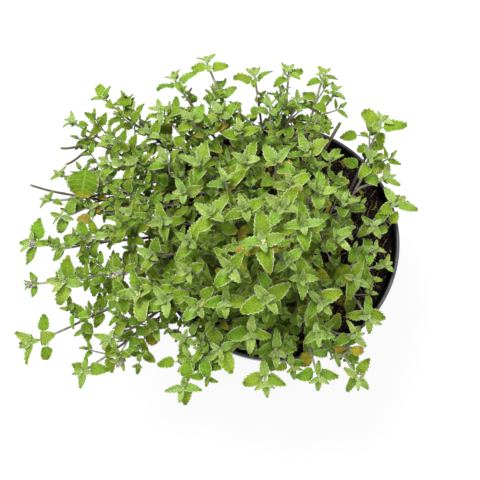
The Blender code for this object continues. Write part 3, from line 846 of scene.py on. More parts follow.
class Room:
    """Where leaves already are, as one small tree of triangles each, found by the cell it is in."""

    CELL = 14 * MM
    KITE = ((0.22, 0, 0), (0.5, 0.3, 0.06), (0.5, -0.3, 0.06), (0.55, 0, -0.01), (1.05, 0, -0.1))

    def __init__(self, stems):
        self.cells = defaultdict(list)
        corners = []
        faces = []
        for path, radii, _ in stems:
            for lower, upper, radius in zip(path[::3], path[3::3], radii[::3]):
                side = (upper - lower).orthogonal().normalized() * radius
                first = len(corners)
                corners += [lower - side, lower + side, upper + side, upper - side]
                faces.append((first, first + 1, first + 2, first + 3))
        self.stems = BVHTree.FromPolygons(corners, faces)

    def cell(self, point):
        return tuple(math.floor(c / self.CELL) for c in point)

    def shape(self, leaf):
        """A folded kite for the leaf, clear of the stem it grows from."""
        placed = [leaf.place + leaf.turn @ (Vector(corner) * leaf.length) for corner in self.KITE]
        return placed[3], BVHTree.FromPolygons(placed, ((0, 1, 3), (0, 3, 2), (1, 4, 3), (3, 4, 2)))

    def is_free(self, leaf):
        middle, tree = self.shape(leaf)
        if tree.overlap(self.stems):
            return False
        x, y, z = self.cell(middle)
        around = (self.cells.get((x + i, y + j, z + k), ())
                  for i in (-1, 0, 1) for j in (-1, 0, 1) for k in (-1, 0, 1))
        return not any(tree.overlap(other) for near in around for other in near)

    def take(self, leaf):
        middle, tree = self.shape(leaf)
        self.cells[self.cell(middle)].append(tree)


def grow_pair(growth, room, path, heading, full_length, pair, vary):
    """The two opposite leaves at one place on a stem, each turned aside where others are in its
    way."""
    below, share, off_stem, age, pattern = pair
    found = point_below_tip(path, below * MM)
    if found is None:
        return
    place, direction = found
    for side in (0, 180):
        length = full_length * MM * share * vary.uniform(0.88, 1.1)
        own_age = age + vary.uniform(-0.06, 0.08)
        if age > OLDER and vary.random() < WITHERED_SHARE:
            own_age = vary.uniform(0.7, 0.93)
        aside = vary.uniform(-LEAF_ASIDE, LEAF_ASIDE)
        roll = Quaternion((1, 0, 0), math.radians(vary.uniform(-LEAF_ROLL, LEAF_ROLL)))
        for twist, lift, shrink in LEAF_TRIES:
            along, face = leaf_frame(direction, heading + side + twist + aside, off_stem + lift)
            leaf = Leaf(place, turned_to(along, face) @ roll, length * shrink, pattern,
                        min(max(own_age, 0), 1))
            if room.is_free(leaf):
                break
        else:
            if age > OLDER:
                continue
        growth.leaves.append(leaf)
        room.take(leaf)


def grow_buds(growth, path, ripeness, vary):
    """A knot of flower buds round a tip, each in its own calyx."""
    for i in range(BUDS):
        share = (i + 0.5) / BUDS
        place, direction = point_below_tip(path, BUD_KNOT * share)
        along, face = leaf_frame(direction, GOLDEN_ANGLE * i, 16 + 62 * share)
        growth.leaves.append(Leaf(place, turned_to(along, face),
                                  BUD_LENGTH * vary.uniform(0.8, 1.1), "calyx", ripeness))


def grow_stub(growth, place, direction, heading, vary):
    """What is left of a side shoot that was cut off: a short bare stem with a pale end."""
    outward = (direction * 0.5 + across_stem(direction, heading) * 0.5 + UP * 0.9).normalized()
    end = place + outward * vary.uniform(*STUB_LENGTHS) * MM
    growth.stems.append(([place, end], [STUB_RADIUS * 0.7] * 2, [STUB_AGE] * 2))
    growth.leaves.append(Leaf(end, outward.to_track_quat("X", "Z"), 2 * STUB_RADIUS, "cut_end", 0))


def pairs_along(tip, path, bare):
    """Every leaf pair of a stem, from its tip down to its bare foot."""
    step = LEGGY_INTERNODE if tip.lean > LEGGY_LEAN else INTERNODE
    pairs = list(TIP_PAIRS)
    below = TIP_PAIRS[-1][0] + max(step, tip.bare)
    while below < length_of(path) / MM - bare:
        stage = min(len(pairs) - len(TIP_PAIRS), len(LOWER_AGES) - 1)
        pattern = "grown" if stage < 2 else "old"
        pairs.append((below, LOWER_LENGTHS[stage], LOWER_ANGLES[stage], LOWER_AGES[stage], pattern))
        below += step
    return pairs


def shoot_stems():
    """Every shoot's stems, the main one first, as {name: [(tip, path, leaf pairs)]}."""
    stems = {}
    for group, rows in SHOOTS.items():
        crown = SECOND_CROWN if group == "right" else CROWN
        for number, tips in enumerate(rows, 1):
            name = f"shoot_{group}_{number:02d}"
            feet = max(tips[0].foot, BARE_FEET[group])
            end = Vector(tips[0][:3]) * MM
            main = main_stem(name, crown, end, tips[0].lean, len(stems))
            stems[name] = [(tips[0], main, pairs_along(tips[0], main, feet))]
            for tip in tips[1:]:
                end = Vector(tip[:3]) * MM
                branch = side_branch(main, BRANCH_AT, end, tip.lean, BRANCH_STEPS)
                branch = wandering(branch, len(stems) + 0.5)
                stems[name].append((tip, branch, pairs_along(tip, branch, BARE_FORK)))
    return stems


def grow_shoots():
    """Grows every tip first, then the lower leaves, then the sprigs, so that the top leaves have
    the first choice of room."""
    stems = shoot_stems()
    growths = {name: Growth() for name in stems}
    routed = []
    for name, own in stems.items():
        for tip, path, pairs in own:
            nodes = [pair[0] * MM for pair in pairs[len(TIP_PAIRS) - 1:]]
            main = path is own[0][1]
            start = STEM_FOOT if main else STEM_FOOT * BRANCH_THICKNESS
            points = [path[0] - UP * ROOTED] + path if main else path
            radii = stem_radii(points, start, STEM_TIP, nodes)
            total = length_of(points)
            last = len(points) - 1
            ages = [min(1, total * (1 - i / last) / WOODY_FROM) for i in range(last + 1)]
            growths[name].stems.append((points, radii, ages))
            routed.append(growths[name].stems[-1])
    room = Room(routed)
    highest = len(TIP_PAIRS)
    for stage, first, last in ((0, 0, highest), (1, highest, None)):
        for seed, (name, own) in enumerate(stems.items()):
            vary = random.Random(seed * 2 + stage)
            for tip, path, pairs in own:
                if stage == 0 and tip.buds >= 0:
                    grow_buds(growths[name], path, tip.buds, vary)
                for number, pair in list(enumerate(pairs))[first:last]:
                    heading = tip.heading + 90 * (number - 3)
                    size = tip.leaf if stage == 0 else max(tip.leaf, LEAST_LOWER_LEAF)
                    if stage == 0 and tip.lean > LEGGY_LEAN:
                        size *= LEGGY_TIP_LEAVES
                    grow_pair(growths[name], room, path, heading, size, pair, vary)
    for name, place, heading, length, pattern, age in LONE_LEAVES:
        base = Vector(place) * MM
        turn = math.radians(heading)
        along = Vector((math.cos(turn), math.sin(turn), -0.1)).normalized()
        face = (UP - along * along.z).normalized()
        growths[name].leaves.append(Leaf(base, turned_to(along, face), length * MM, pattern, age))
        room.take(growths[name].leaves[-1])
        nearest = min(stems[name][0][1], key=lambda point: (point - base).length)
        stalk = [nearest, nearest.lerp(base, 0.5) + UP * MM, base + along * MM]
        growths[name].stems.append((stalk, [LONE_STALK] * 3, [LONE_AGE] * 3))
    for seed, (name, own) in enumerate(stems.items()):
        vary = random.Random(SPRIG_DRAWS + seed)
        for tip, path, pairs in own:
            for number, pair in list(enumerate(pairs))[highest - 1:]:
                grow_sprigs(growths[name], room, path, tip, number, pair, vary)
    return growths


def grow_sprigs(growth, room, path, tip, number, pair, vary):
    """The two small side shoots in the axils of a leaf pair."""
    found = point_below_tip(path, pair[0] * MM)
    if found is None:
        return
    place, direction = found
    stage = min(number - len(TIP_PAIRS) + 1, len(SPRIG_LENGTHS) - 1)
    for side in (0, 180):
        if vary.random() > (LEGGY_SPRIG_SHARE if tip.lean > LEGGY_LEAN else SPRIG_SHARE):
            continue
        heading = tip.heading + 90 * (number - 3) + side + vary.uniform(-15, 15)
        if vary.random() < STUB_SHARE and stage > 0:
            grow_stub(growth, place, direction, heading, vary)
            continue
        reach = SPRIG_LENGTHS[stage] * vary.uniform(0.7, 1.25) * MM
        if tip.lean > LEGGY_LEAN:
            reach *= LEGGY_SPRIGS
        outward = (direction * 0.6 + across_stem(direction, heading) * 0.8).normalized()
        end = place + (outward + UP * 0.4) * reach
        corners = (place, place + outward * reach * 0.4, end - UP * reach * 0.3, end)
        sprig = bezier(corners, SPRIG_STEPS)
        radii = [STEM_TIP * (0.85 - 0.3 * i / SPRIG_STEPS) for i in range(SPRIG_STEPS + 1)]
        growth.stems.append((sprig, radii, [SPRIG_AGE] * (SPRIG_STEPS + 1)))
        size = max(tip.leaf, LEAST_LOWER_LEAF) * vary.uniform(0.8, 1.05)
        size *= 0.5 if stage == 0 else 0.95
        for turn, sprig_pair in enumerate(SPRIG_TIP_PAIRS):
            if sprig_pair[0] * MM < reach * 0.8:
                grow_pair(growth, room, sprig, heading + 90 * turn, size, sprig_pair, vary)


# Blades. A catmint leaf is a soft triangular oval with scalloped margins, puckered between its
# side veins, folded a little along the midrib and set on a short stalk.
class Blade(NamedTuple):
    """A leaf's form. Sizes are shares of its length, angles are in degrees."""

    width: float  # from the midrib to the margin at the widest
    widest: float  # where that is, from base to tip
    teeth: int
    fold: float  # how far each half rises from the midrib
    arch: float  # how far the tip bends down
    pucker: float
    wave: float
    stalk: float


BLADES = {
    "bud": (
        Blade(0.19, 0.38, 3, 0.4, -16, 0, 0, 0.05),
        Blade(0.21, 0.38, 3, 0.35, -4, 0, 0, 0.05),
    ),
    "young": (
        Blade(0.185, 0.33, 5, 0.5, -10, 0.025, 0.02, 0.1),
        Blade(0.21, 0.35, 5, 0.4, 20, 0.03, 0.03, 0.12),
        Blade(0.195, 0.32, 5, 0.62, 34, 0.025, 0.02, 0.1),
    ),
    "grown": (
        Blade(0.25, 0.3, 6, 0.4, 30, 0.035, 0.03, 0.14),
        Blade(0.28, 0.34, 6, 0.22, 16, 0.045, 0.05, 0.18),
        Blade(0.25, 0.32, 6, 0.5, 46, 0.03, 0.04, 0.14),
        Blade(0.29, 0.36, 6, 0.16, 38, 0.05, 0.08, 0.18),
    ),
    "old": (
        Blade(0.36, 0.4, 6, 0.1, 30, 0.05, 0.08, 0.24),
        Blade(0.32, 0.4, 6, 0.25, 52, 0.045, 0.06, 0.28),
        Blade(0.39, 0.42, 6, 0.07, 14, 0.06, 0.1, 0.26),
    ),
    "round": (Blade(0.52, 0.42, 7, 0.04, 20, 0.07, 0.12, 0.3),),
}
WIDENING = 0.42  # how fast a blade widens from its base: 0.5 is round, 1 is straight
TOOTH = 0.08
BLADE_THICKNESS = 0.02
STALK_RADIUS = 0.026
STALK_SIDES = 3
CALYX_SIDES = 6
SIDE_VEINS = 6  # on each half of a leaf
LEAF_TRANSLUCENCY = 0.12


def half_width(blade, u):
    """The margin's distance from the midrib at this share of the way from base to tip."""
    narrowing = WIDENING * (1 - blade.widest) / blade.widest
    widened = (u / blade.widest) ** WIDENING
    narrowed = ((1 - u) / (1 - blade.widest)) ** narrowing
    return blade.width * widened * narrowed


def midrib_at(blade, u):
    """The place on the arched midrib and the direction out of the face there."""
    bend = math.radians(blade.arch)
    steps = 8
    place = Vector((blade.stalk, 0, 0))
    for i in range(steps):
        angle = bend * (0.25 - u * (i + 0.5) / steps)
        place += Vector((math.cos(angle), 0, math.sin(angle))) * u / steps
    angle = bend * (0.25 - u)
    return place, Vector((-math.sin(angle), 0, math.cos(angle)))


def zipped(first, second):
    """The triangles between two rows of (share of the way, corner) that run side by side."""
    i = j = 0
    while i + 1 < len(first) or j + 1 < len(second):
        if j + 1 == len(second) or (i + 1 < len(first) and first[i + 1][0] <= second[j + 1][0]):
            corners = (first[i][1], first[i + 1][1], second[j][1])
            i += 1
        else:
            corners = (first[i][1], second[j + 1][1], second[j][1])
            j += 1
        if len(set(corners)) == 3:
            yield corners


def blade_mesh(blade, seed):
    """A leaf one unit long from base to tip that starts at the origin and runs along +X."""
    bm = bmesh.new()
    place_on_leaf = bm.loops.layers.uv.new("blade")
    under = bm.faces.layers.float.new("under")
    spots = {}

    def corner(place, u, across):
        made = bm.verts.new(place)
        spots[made] = (u, 0.5 + 0.5 * across)
        return made

    def surface_point(u, across, tooth=0, relief=0):
        """A corner on the upper face: moved outwards by a tooth, and raised by the relief."""
        middle, out = midrib_at(blade, u)
        offset = across * half_width(blade, u) + math.copysign(tooth, across) * (1 - 0.5 * u)
        lift = blade.fold * abs(offset) * (1 - 0.3 * abs(across)) + relief
        lift += blade.wave * abs(across) * math.sin(seed * 1.9 + 7 * u + (1.7 if across > 0 else 0))
        forward = Vector((0.4 * max(tooth, 0), 0, 0))
        return corner(middle + Vector((0, offset, 0)) + out * lift + forward, u, across)

    def cover(first, second, is_under):
        for corners in zipped(first, second):
            made = bm.faces.new(corners)
            made[under] = is_under
            for loop in made.loops:
                loop[place_on_leaf].uv = spots[loop.vert]

    base = (0, corner(midrib_at(blade, 0)[0], 0, 0))
    end = (1, corner(midrib_at(blade, 1)[0], 1, 0))
    stations = (0.2, 0.45, 0.72)
    midrib = [base, *((u, surface_point(u, 0)) for u in stations), end]
    keel = [base]
    for u in stations:
        middle, out = midrib_at(blade, u)
        keel.append((u, corner(middle - out * BLADE_THICKNESS * (1.4 - u), u, 0)))
    keel.append(end)
    for side in (-1, 1):
        margin = [base]
        ridge = [base]
        for k in range(blade.teeth):
            if k:
                notch = k / blade.teeth
                margin.append((notch, surface_point(notch, side, -0.4 * TOOTH)))
            crest = (k + 0.6) / blade.teeth
            margin.append((crest, surface_point(crest, side, TOOTH, blade.pucker)))
            if blade.pucker:
                ridge.append((crest, surface_point(crest, 0.5 * side, 0, blade.pucker)))
        margin.append(end)
        ridge.append(end)
        inner = ridge if blade.pucker else midrib
        cover(margin, inner, 0)
        if blade.pucker:
            cover(ridge, midrib, 0)
        cover(keel, margin, 1)
    stalk_rings = []
    for share, sag in ((0, 0), (0.55, 0.012), (1, 0.008)):
        middle = Vector((blade.stalk * share + 0.03 * (share == 1), 0, -sag))
        radius = STALK_RADIUS * (1 - 0.25 * share)
        angles = [math.tau * i / STALK_SIDES for i in range(STALK_SIDES)]
        stalk_rings.append([corner(middle + Vector((0, math.cos(a), math.sin(a))) * radius, 0.01, 0)
                            for a in angles])
    skin(bm, stalk_rings)
    for face in bm.faces:
        face.smooth = True
    for edge in bm.edges:
        edge.smooth = len({linked[under] for linked in edge.link_faces}) == 1
    return mesh_of(bm, "leaf")


def calyx_mesh():
    """A flower bud's calyx one unit long: a short tube along +X that closes to a point."""
    bm = bmesh.new()
    rings = []
    for along, radius in ((0, 0.07), (0.25, 0.2), (0.7, 0.22), (1, 0.06)):
        angles = [math.tau * i / CALYX_SIDES for i in range(CALYX_SIDES)]
        rings.append([bm.verts.new((along, math.cos(a) * radius, math.sin(a) * radius))
                      for a in angles])
    skin(bm, rings)
    for face in bm.faces:
        face.smooth = True
    return mesh_of(bm, "calyx")


def cut_end_mesh():
    """The wood that shows where a side shoot was cut: a low plug one unit across, facing +X."""
    bm = bmesh.new()
    bmesh.ops.create_cone(bm, cap_ends=True, segments=8, radius1=0.5, radius2=0.42, depth=0.5,
                          matrix=Quaternion((0, 1, 0), math.pi / 2).to_matrix().to_4x4())
    return mesh_of(bm, "cut_end")


def shoot_tree():
    """A shoot from its plan: the plan's edges become stems, its loose points become leaves, flower
    buds and cut ends."""
    tree, given, out = new_tree("grown_shoot", {
        "Leaf Patterns": "NodeSocketCollection", "Leaf Finish": "NodeSocketMaterial",
        "Calyx Pattern": "NodeSocketInt", "Calyx Finish": "NodeSocketMaterial",
        "Cut End Pattern": "NodeSocketInt", "Cut End Finish": "NodeSocketMaterial",
        "Stem Finish": "NodeSocketMaterial", "Corner Rounding": "NodeSocketFloat",
        "Seed": "NodeSocketInt"})
    size = add_node(tree, "GeometryNodeInputNamedAttribute", {"Name": "size"}, data_type="FLOAT")
    pattern = add_node(tree, "GeometryNodeInputNamedAttribute", {"Name": "pattern"},
                       data_type="INT")
    turn = add_node(tree, "GeometryNodeInputNamedAttribute", {"Name": "turn"},
                    data_type="QUATERNION")
    is_leaf = add_node(tree, "FunctionNodeCompare", {2: pattern, 3: 0},
                       data_type="INT", operation="GREATER_EQUAL")
    parted = add_node(tree, "GeometryNodeSeparateGeometry",
                      {"Geometry": given["Geometry"], "Selection": is_leaf}, domain="POINT")

    line = add_node(tree, "GeometryNodeMeshToCurve", {"Mesh": parted.outputs["Inverted"]})
    square = add_node(tree, "GeometryNodeCurvePrimitiveQuadrilateral",
                      {"Width": STEM_SQUARE, "Height": STEM_SQUARE})
    rounded = add_node(tree, "GeometryNodeFilletCurve",
                       {"Curve": square, "Radius": given["Corner Rounding"], "Limit Radius": True})
    stem = add_node(tree, "GeometryNodeCurveToMesh",
                    {"Curve": line, "Profile Curve": rounded, "Scale": size, "Fill Caps": True})
    stem_smooth = add_node(tree, "GeometryNodeSetShadeSmooth", {"Geometry": stem})
    stem_done = add_node(tree, "GeometryNodeSetMaterial",
                         {"Geometry": stem_smooth, "Material": given["Stem Finish"]})

    tint = add_node(tree, "FunctionNodeRandomValue", {"Seed": given["Seed"]}, data_type="FLOAT")
    tinted = add_node(tree, "GeometryNodeStoreNamedAttribute",
                      {"Geometry": parted, "Name": "tint", "Value": tint},
                      data_type="FLOAT", domain="POINT")
    patterns = add_node(tree, "GeometryNodeCollectionInfo",
                        {"Collection": given["Leaf Patterns"], "Separate Children": True,
                         "Reset Children": True})
    leaves = add_node(tree, "GeometryNodeInstanceOnPoints",
                      {"Points": tinted, "Instance": patterns, "Pick Instance": True,
                       "Instance Index": pattern, "Rotation": turn, "Scale": size})
    solid = add_node(tree, "GeometryNodeRealizeInstances", {"Geometry": leaves})
    done = add_node(tree, "GeometryNodeSetMaterial",
                    {"Geometry": solid, "Material": given["Leaf Finish"]})
    for part in ("Calyx", "Cut End"):
        is_part = add_node(tree, "FunctionNodeCompare", {2: pattern, 3: given[f"{part} Pattern"]},
                           data_type="INT", operation="EQUAL")
        done = add_node(tree, "GeometryNodeSetMaterial",
                        {"Geometry": done, "Selection": is_part,
                         "Material": given[f"{part} Finish"]})
    both = add_node(tree, "GeometryNodeJoinGeometry")
    feed(tree, both, {"Geometry": done})
    feed(tree, both, {"Geometry": stem_done})
    feed(tree, out, {"Geometry": both})
    return tree


def downy_leaf():
    """A catmint leaf: soft green under short white down, which shows as a pale line along the
    margin, specks the face and greys the underside. New leaves are yellow-green, the lowest ones
    dull, and a leaf that withers turns yellow and then brown. The face bulges between the veins."""
    made, tree, surface = new_finish("downy_catmint_leaf")
    place = add_node(tree, "ShaderNodeTexCoord").outputs["Object"]
    spot = add_node(tree, "ShaderNodeUVMap", uv_map="blade")
    parts = add_node(tree, "ShaderNodeSeparateXYZ", {"Vector": spot})
    to_tip = parts.outputs["X"]
    age = add_node(tree, "ShaderNodeAttribute", attribute_name="age").outputs["Fac"]
    tint = add_node(tree, "ShaderNodeAttribute", attribute_name="tint").outputs["Fac"]
    under = add_node(tree, "ShaderNodeAttribute", attribute_name="under").outputs["Fac"]

    # the midrib, the side veins that slant off it, the margin, and the net of small veins between
    off_rib = add_node(tree, "ShaderNodeMath", {0: parts.outputs["Y"], 1: 0.5},
                       operation="SUBTRACT")
    across = add_node(tree, "ShaderNodeMath", {0: off_rib, 1: 0.5}, operation="DIVIDE")
    edge = add_node(tree, "ShaderNodeMath", {0: across}, operation="ABSOLUTE")
    rib = add_node(tree, "ShaderNodeMapRange",
                   {"Value": edge, "From Max": 0.12, "To Min": 1, "To Max": 0},
                   interpolation_type="SMOOTHSTEP")
    kept_down = add_node(tree, "ShaderNodeMapRange",
                         {"Value": age, "From Min": 0.35, "From Max": 0.7, "To Min": 0.95,
                          "To Max": 0.3})
    margin = add_node(tree, "ShaderNodeMapRange",
                      {"Value": edge, "From Min": 0.82, "From Max": 0.95, "To Max": kept_down},
                      interpolation_type="SMOOTHSTEP")
    slant = add_node(tree, "ShaderNodeMath", {0: edge, 1: -0.13, 2: to_tip},
                     operation="MULTIPLY_ADD")
    beat = add_node(tree, "ShaderNodeMath", {0: slant, 1: SIDE_VEINS}, operation="MULTIPLY")
    from_vein = add_node(tree, "ShaderNodeMath", {0: beat, 1: 0.5}, operation="PINGPONG")
    vein = add_node(tree, "ShaderNodeMapRange",
                    {"Value": from_vein, "From Max": 0.15, "To Min": 1, "To Max": 0},
                    interpolation_type="SMOOTHSTEP")
    veined = add_node(tree, "ShaderNodeMath", {0: vein, 1: rib}, operation="MAXIMUM")
    net = add_node(tree, "ShaderNodeTexVoronoi",
                   {"Vector": place, "Scale": 1 / (1.1 * MM), "Randomness": 0.9})

    # colour by age, unevenly, the tip of the leaf first
    patch = add_node(tree, "ShaderNodeTexNoise",
                     {"Vector": place, "Scale": 1 / (5 * MM), "Detail": 5, "Roughness": 0.6})
    aged = add_node(tree, "ShaderNodeMath", {0: tint, 1: 0.2, 2: age}, operation="MULTIPLY_ADD")
    uneven = add_node(tree, "ShaderNodeMath", {0: patch, 1: 0.5, 2: aged}, operation="MULTIPLY_ADD")
    tip_first = add_node(tree, "ShaderNodeMapRange",
                         {"Value": to_tip, "From Min": 0.5, "To Min": 0.35, "To Max": 0.05},
                         interpolation_type="SMOOTHSTEP")
    centred = add_node(tree, "ShaderNodeMath", {0: uneven, 1: tip_first}, operation="SUBTRACT")
    green = add_node(tree, "ShaderNodeValToRGB", {"Fac": centred})
    set_ramp(green, ((0.0, "#86b044"), (0.18, "#76a42a"), (0.4, "#6a961a"), (0.62, "#507a0c"),
                     (0.74, "#6e8410"), (0.82, "#8e9016"), (0.9, "#a89e24"), (1.0, "#96842e")))

    # each leaf a little yellower or lighter than the next, and a painted shade: lighter on the tops
    # of the bulges, darker in the hollows between them
    own_hue = add_node(tree, "ShaderNodeMath", {0: tint, 1: 17.3}, operation="MULTIPLY")
    hue_roll = add_node(tree, "ShaderNodeMath", {0: own_hue}, operation="FRACT")
    hue = add_node(tree, "ShaderNodeMapRange", {"Value": hue_roll, "To Min": 0.463, "To Max": 0.5})
    own_depth = add_node(tree, "ShaderNodeMath", {0: tint, 1: 41.7}, operation="MULTIPLY")
    depth_roll = add_node(tree, "ShaderNodeMath", {0: own_depth}, operation="FRACT")
    depth = add_node(tree, "ShaderNodeMapRange",
                     {"Value": depth_roll, "To Min": 1.14, "To Max": 1.42})
    # painted shade that follows the bump relief: bright on each bulge, dark where it sinks between
    # them
    painted_bulge_shade = add_node(tree, "ShaderNodeMapRange",
                     {"Value": net, "From Max": 0.8, "To Min": 1.28, "To Max": 0.7})
    tone_and_painted_shade = add_node(tree, "ShaderNodeMath", {0: depth, 1: painted_bulge_shade}, operation="MULTIPLY")
    varied = add_node(tree, "ShaderNodeHueSaturation",
                      {"Hue": hue, "Value": tone_and_painted_shade, "Color": green})
    vein_share = add_node(tree, "ShaderNodeMath", {0: veined, 1: 0.4}, operation="MULTIPLY")
    with_veins = add_node(tree, "ShaderNodeMix",
                          {"Factor": vein_share, 6: varied, 7: linear("#a8cc4c")}, data_type="RGBA")
    under_share = add_node(tree, "ShaderNodeMath", {0: under, 1: 0.45}, operation="MULTIPLY")
    greyed = add_node(tree, "ShaderNodeMix",
                      {"Factor": under_share, 6: with_veins, 7: linear("#84a448")},
                      data_type="RGBA")

    # the down, thick on new leaves and along the margin
    hairs = add_node(tree, "ShaderNodeTexNoise",
                     {"Vector": place, "Scale": 1 / (0.7 * MM), "Detail": 4})
    specks = add_node(tree, "ShaderNodeMapRange",
                      {"Value": hairs, "From Min": 0.42, "From Max": 0.58, "To Min": 0.22})
    fresh = add_node(tree, "ShaderNodeMapRange",
                     {"Value": age, "From Max": 0.3, "To Min": 0.5, "To Max": 0.03})
    hairy = add_node(tree, "ShaderNodeMath", {0: fresh, 1: margin}, operation="MAXIMUM")
    hair_share = add_node(tree, "ShaderNodeMath", {0: specks, 1: hairy}, operation="MULTIPLY")
    downy = add_node(tree, "ShaderNodeMix",
                     {"Factor": hair_share, 6: greyed, 7: linear("#e2e6bc")}, data_type="RGBA")

    quilt = add_node(tree, "ShaderNodeMath", {0: veined, 1: -0.8, 2: hairs},
                     operation="MULTIPLY_ADD")
    relief = add_node(tree, "ShaderNodeMath", {0: net, 1: -1.0, 2: quilt},
                      operation="MULTIPLY_ADD")
    bump = add_node(tree, "ShaderNodeBump",
                    {"Height": relief, "Strength": 0.8, "Distance": 0.45 * MM})
    feed(tree, surface, {"Base Color": downy, "Roughness": 0.6, "Specular IOR Level": 0.05,
                         "Sheen Weight": 0.015, "Sheen Roughness": 0.45, "Normal": bump})

    through = add_node(tree, "ShaderNodeBsdfTranslucent", {"Color": linear("#90c014")})
    thin = add_node(tree, "ShaderNodeMixShader", {0: LEAF_TRANSLUCENCY, 1: surface, 2: through})
    feed(tree, tree.nodes["Material Output"], {"Surface": thin})
    return made


def downy_stem():
    """A square catmint stem: green and downy at the tip, flushed purple-brown lower down, and
    woody brown where it comes out of the peat."""
    made, tree, surface = new_finish("downy_catmint_stem")
    place = add_node(tree, "ShaderNodeTexCoord").outputs["Object"]
    age = add_node(tree, "ShaderNodeAttribute", attribute_name="age").outputs["Fac"]
    streaks = add_node(tree, "ShaderNodeTexNoise",
                       {"Vector": place, "Scale": 1 / (1.6 * MM), "Detail": 4})
    uneven = add_node(tree, "ShaderNodeMath", {0: streaks, 1: 0.35, 2: age},
                      operation="MULTIPLY_ADD")
    centred = add_node(tree, "ShaderNodeMath", {0: uneven, 1: 0.17}, operation="SUBTRACT")
    colour = add_node(tree, "ShaderNodeValToRGB", {"Fac": centred})
    set_ramp(colour, ((0.0, "#aab884"), (0.14, "#9c9a80"), (0.3, "#665450"), (0.46, "#3a2729"),
                      (1.0, "#33241c")))
    down = add_node(tree, "ShaderNodeTexNoise",
                    {"Vector": place, "Scale": 1 / (0.3 * MM), "Detail": 2})
    bump = add_node(tree, "ShaderNodeBump",
                    {"Height": down, "Strength": 0.5, "Distance": 0.15 * MM})
    feed(tree, surface, {"Base Color": colour, "Roughness": 0.7, "Sheen Weight": 0.1,
                         "Sheen Roughness": 0.4, "Normal": bump})
    return made


def downy_calyx():
    """A flower bud's calyx: pale green when it has just formed, greyed with mauve later, under
    long white hairs."""
    made, tree, surface = new_finish("downy_catmint_calyx")
    place = add_node(tree, "ShaderNodeTexCoord").outputs["Object"]
    age = add_node(tree, "ShaderNodeAttribute", attribute_name="age").outputs["Fac"]
    colour = add_node(tree, "ShaderNodeValToRGB", {"Fac": age})
    set_ramp(colour, ((0.0, "#cdd692"), (0.3, "#a9b67c"), (0.8, "#8b7a80"), (1.0, "#7d6a78")))
    hairs = add_node(tree, "ShaderNodeTexNoise",
                     {"Vector": place, "Scale": 1 / (0.45 * MM), "Detail": 3})
    hairy = add_node(tree, "ShaderNodeMapRange",
                     {"Value": hairs, "From Min": 0.45, "From Max": 0.65, "To Max": 0.75})
    downy = add_node(tree, "ShaderNodeMix",
                     {"Factor": hairy, 6: colour, 7: linear("#eeeed2")}, data_type="RGBA")
    bump = add_node(tree, "ShaderNodeBump",
                    {"Height": hairs, "Strength": 0.8, "Distance": 0.3 * MM})
    feed(tree, surface, {"Base Color": downy, "Roughness": 0.75, "Normal": bump})
    return made


def cut_pith():
    """Fresh-cut stem: cream pith, a little browner in the middle."""
    made, tree, surface = new_finish("cut_catmint_pith")
    place = add_node(tree, "ShaderNodeTexCoord").outputs["Object"]
    grain = add_node(tree, "ShaderNodeTexNoise",
                     {"Vector": place, "Scale": 1 / (0.6 * MM), "Detail": 2})
    colour = add_node(tree, "ShaderNodeValToRGB", {"Fac": grain})
    set_ramp(colour, ((0.3, "#cdbb8d"), (0.6, "#ede4c4")))
    feed(tree, surface, {"Base Color": colour, "Roughness": 0.7})
    return made


def plan_mesh(name, growth, numbers, vary):
    """The plan that the shoot tree reads: stems as edges, leaves as loose points. A leaf takes one
    of the patterns of its kind at random, from their numbers."""
    points = []
    edges = []
    rows = {"size": [], "age": [], "pattern": [], "turn": []}
    for path, radii, ages in growth.stems:
        edges += [(len(points) + i, len(points) + i + 1) for i in range(len(path) - 1)]
        points += path
        rows["size"] += radii
        rows["age"] += ages
        rows["pattern"] += [-1] * len(path)
        rows["turn"] += (1, 0, 0, 0) * len(path)
    for leaf in growth.leaves:
        points.append(leaf.place)
        rows["size"].append(leaf.length)
        rows["age"].append(leaf.age)
        rows["pattern"].append(vary.choice(numbers[leaf.pattern]))
        rows["turn"] += tuple(leaf.turn)
    mesh = bpy.data.meshes.new(name)
    mesh.from_pydata(points, edges, [])
    for label, kind in (("size", "FLOAT"), ("age", "FLOAT"), ("pattern", "INT"),
                        ("turn", "QUATERNION")):
        mesh.attributes.new(label, kind, "POINT").data.foreach_set("value", rows[label])
    return mesh


leaf_meshes = []
leaf_numbers = defaultdict(list)
for label, forms in BLADES.items():
    for form in forms:
        leaf_numbers[label].append(len(leaf_meshes))
        leaf_meshes.append(blade_mesh(form, len(leaf_meshes)))
leaf_numbers["calyx"].append(len(leaf_meshes))
leaf_numbers["cut_end"].append(len(leaf_meshes) + 1)
leaf_patterns = pattern_collection("leaf_pattern", [*leaf_meshes, calyx_mesh(), cut_end_mesh()])
growing = shoot_tree()
leaf_finish = downy_leaf()
stem_finish = downy_stem()
calyx_finish = downy_calyx()
pith_finish = cut_pith()
for seed, (name, growth) in enumerate(grow_shoots().items()):
    plan = plan_mesh(name, growth, leaf_numbers, random.Random(seed))
    shoot = new_piece(f"catmint_{name}", plan)
    shoot.data = grown_mesh(shoot, growing, {
        "Leaf Patterns": leaf_patterns, "Leaf Finish": leaf_finish, "Stem Finish": stem_finish,
        "Calyx Pattern": leaf_numbers["calyx"][0], "Calyx Finish": calyx_finish,
        "Cut End Pattern": leaf_numbers["cut_end"][0], "Cut End Finish": pith_finish,
        "Corner Rounding": STEM_ROUNDING, "Seed": seed})
    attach(shoot, "root")
    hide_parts(name)
clear_patterns(leaf_patterns)

# Withered leaves that have dropped onto the peat
fallen_meshes = [blade_mesh(form, seed) for seed, form in enumerate(BLADES["old"])]
strew("fallen_leaves", fallen_meshes, leaf_finish,
      {"Spacing": 17 * MM, "Smallest": 5 * MM, "Largest": 11 * MM, "Tilt": 0.6, "Raise": 1.4 * MM,
       "Within": COLLAR_INSIDE - 12 * MM, "Age": 0.93, "Seed": 31})

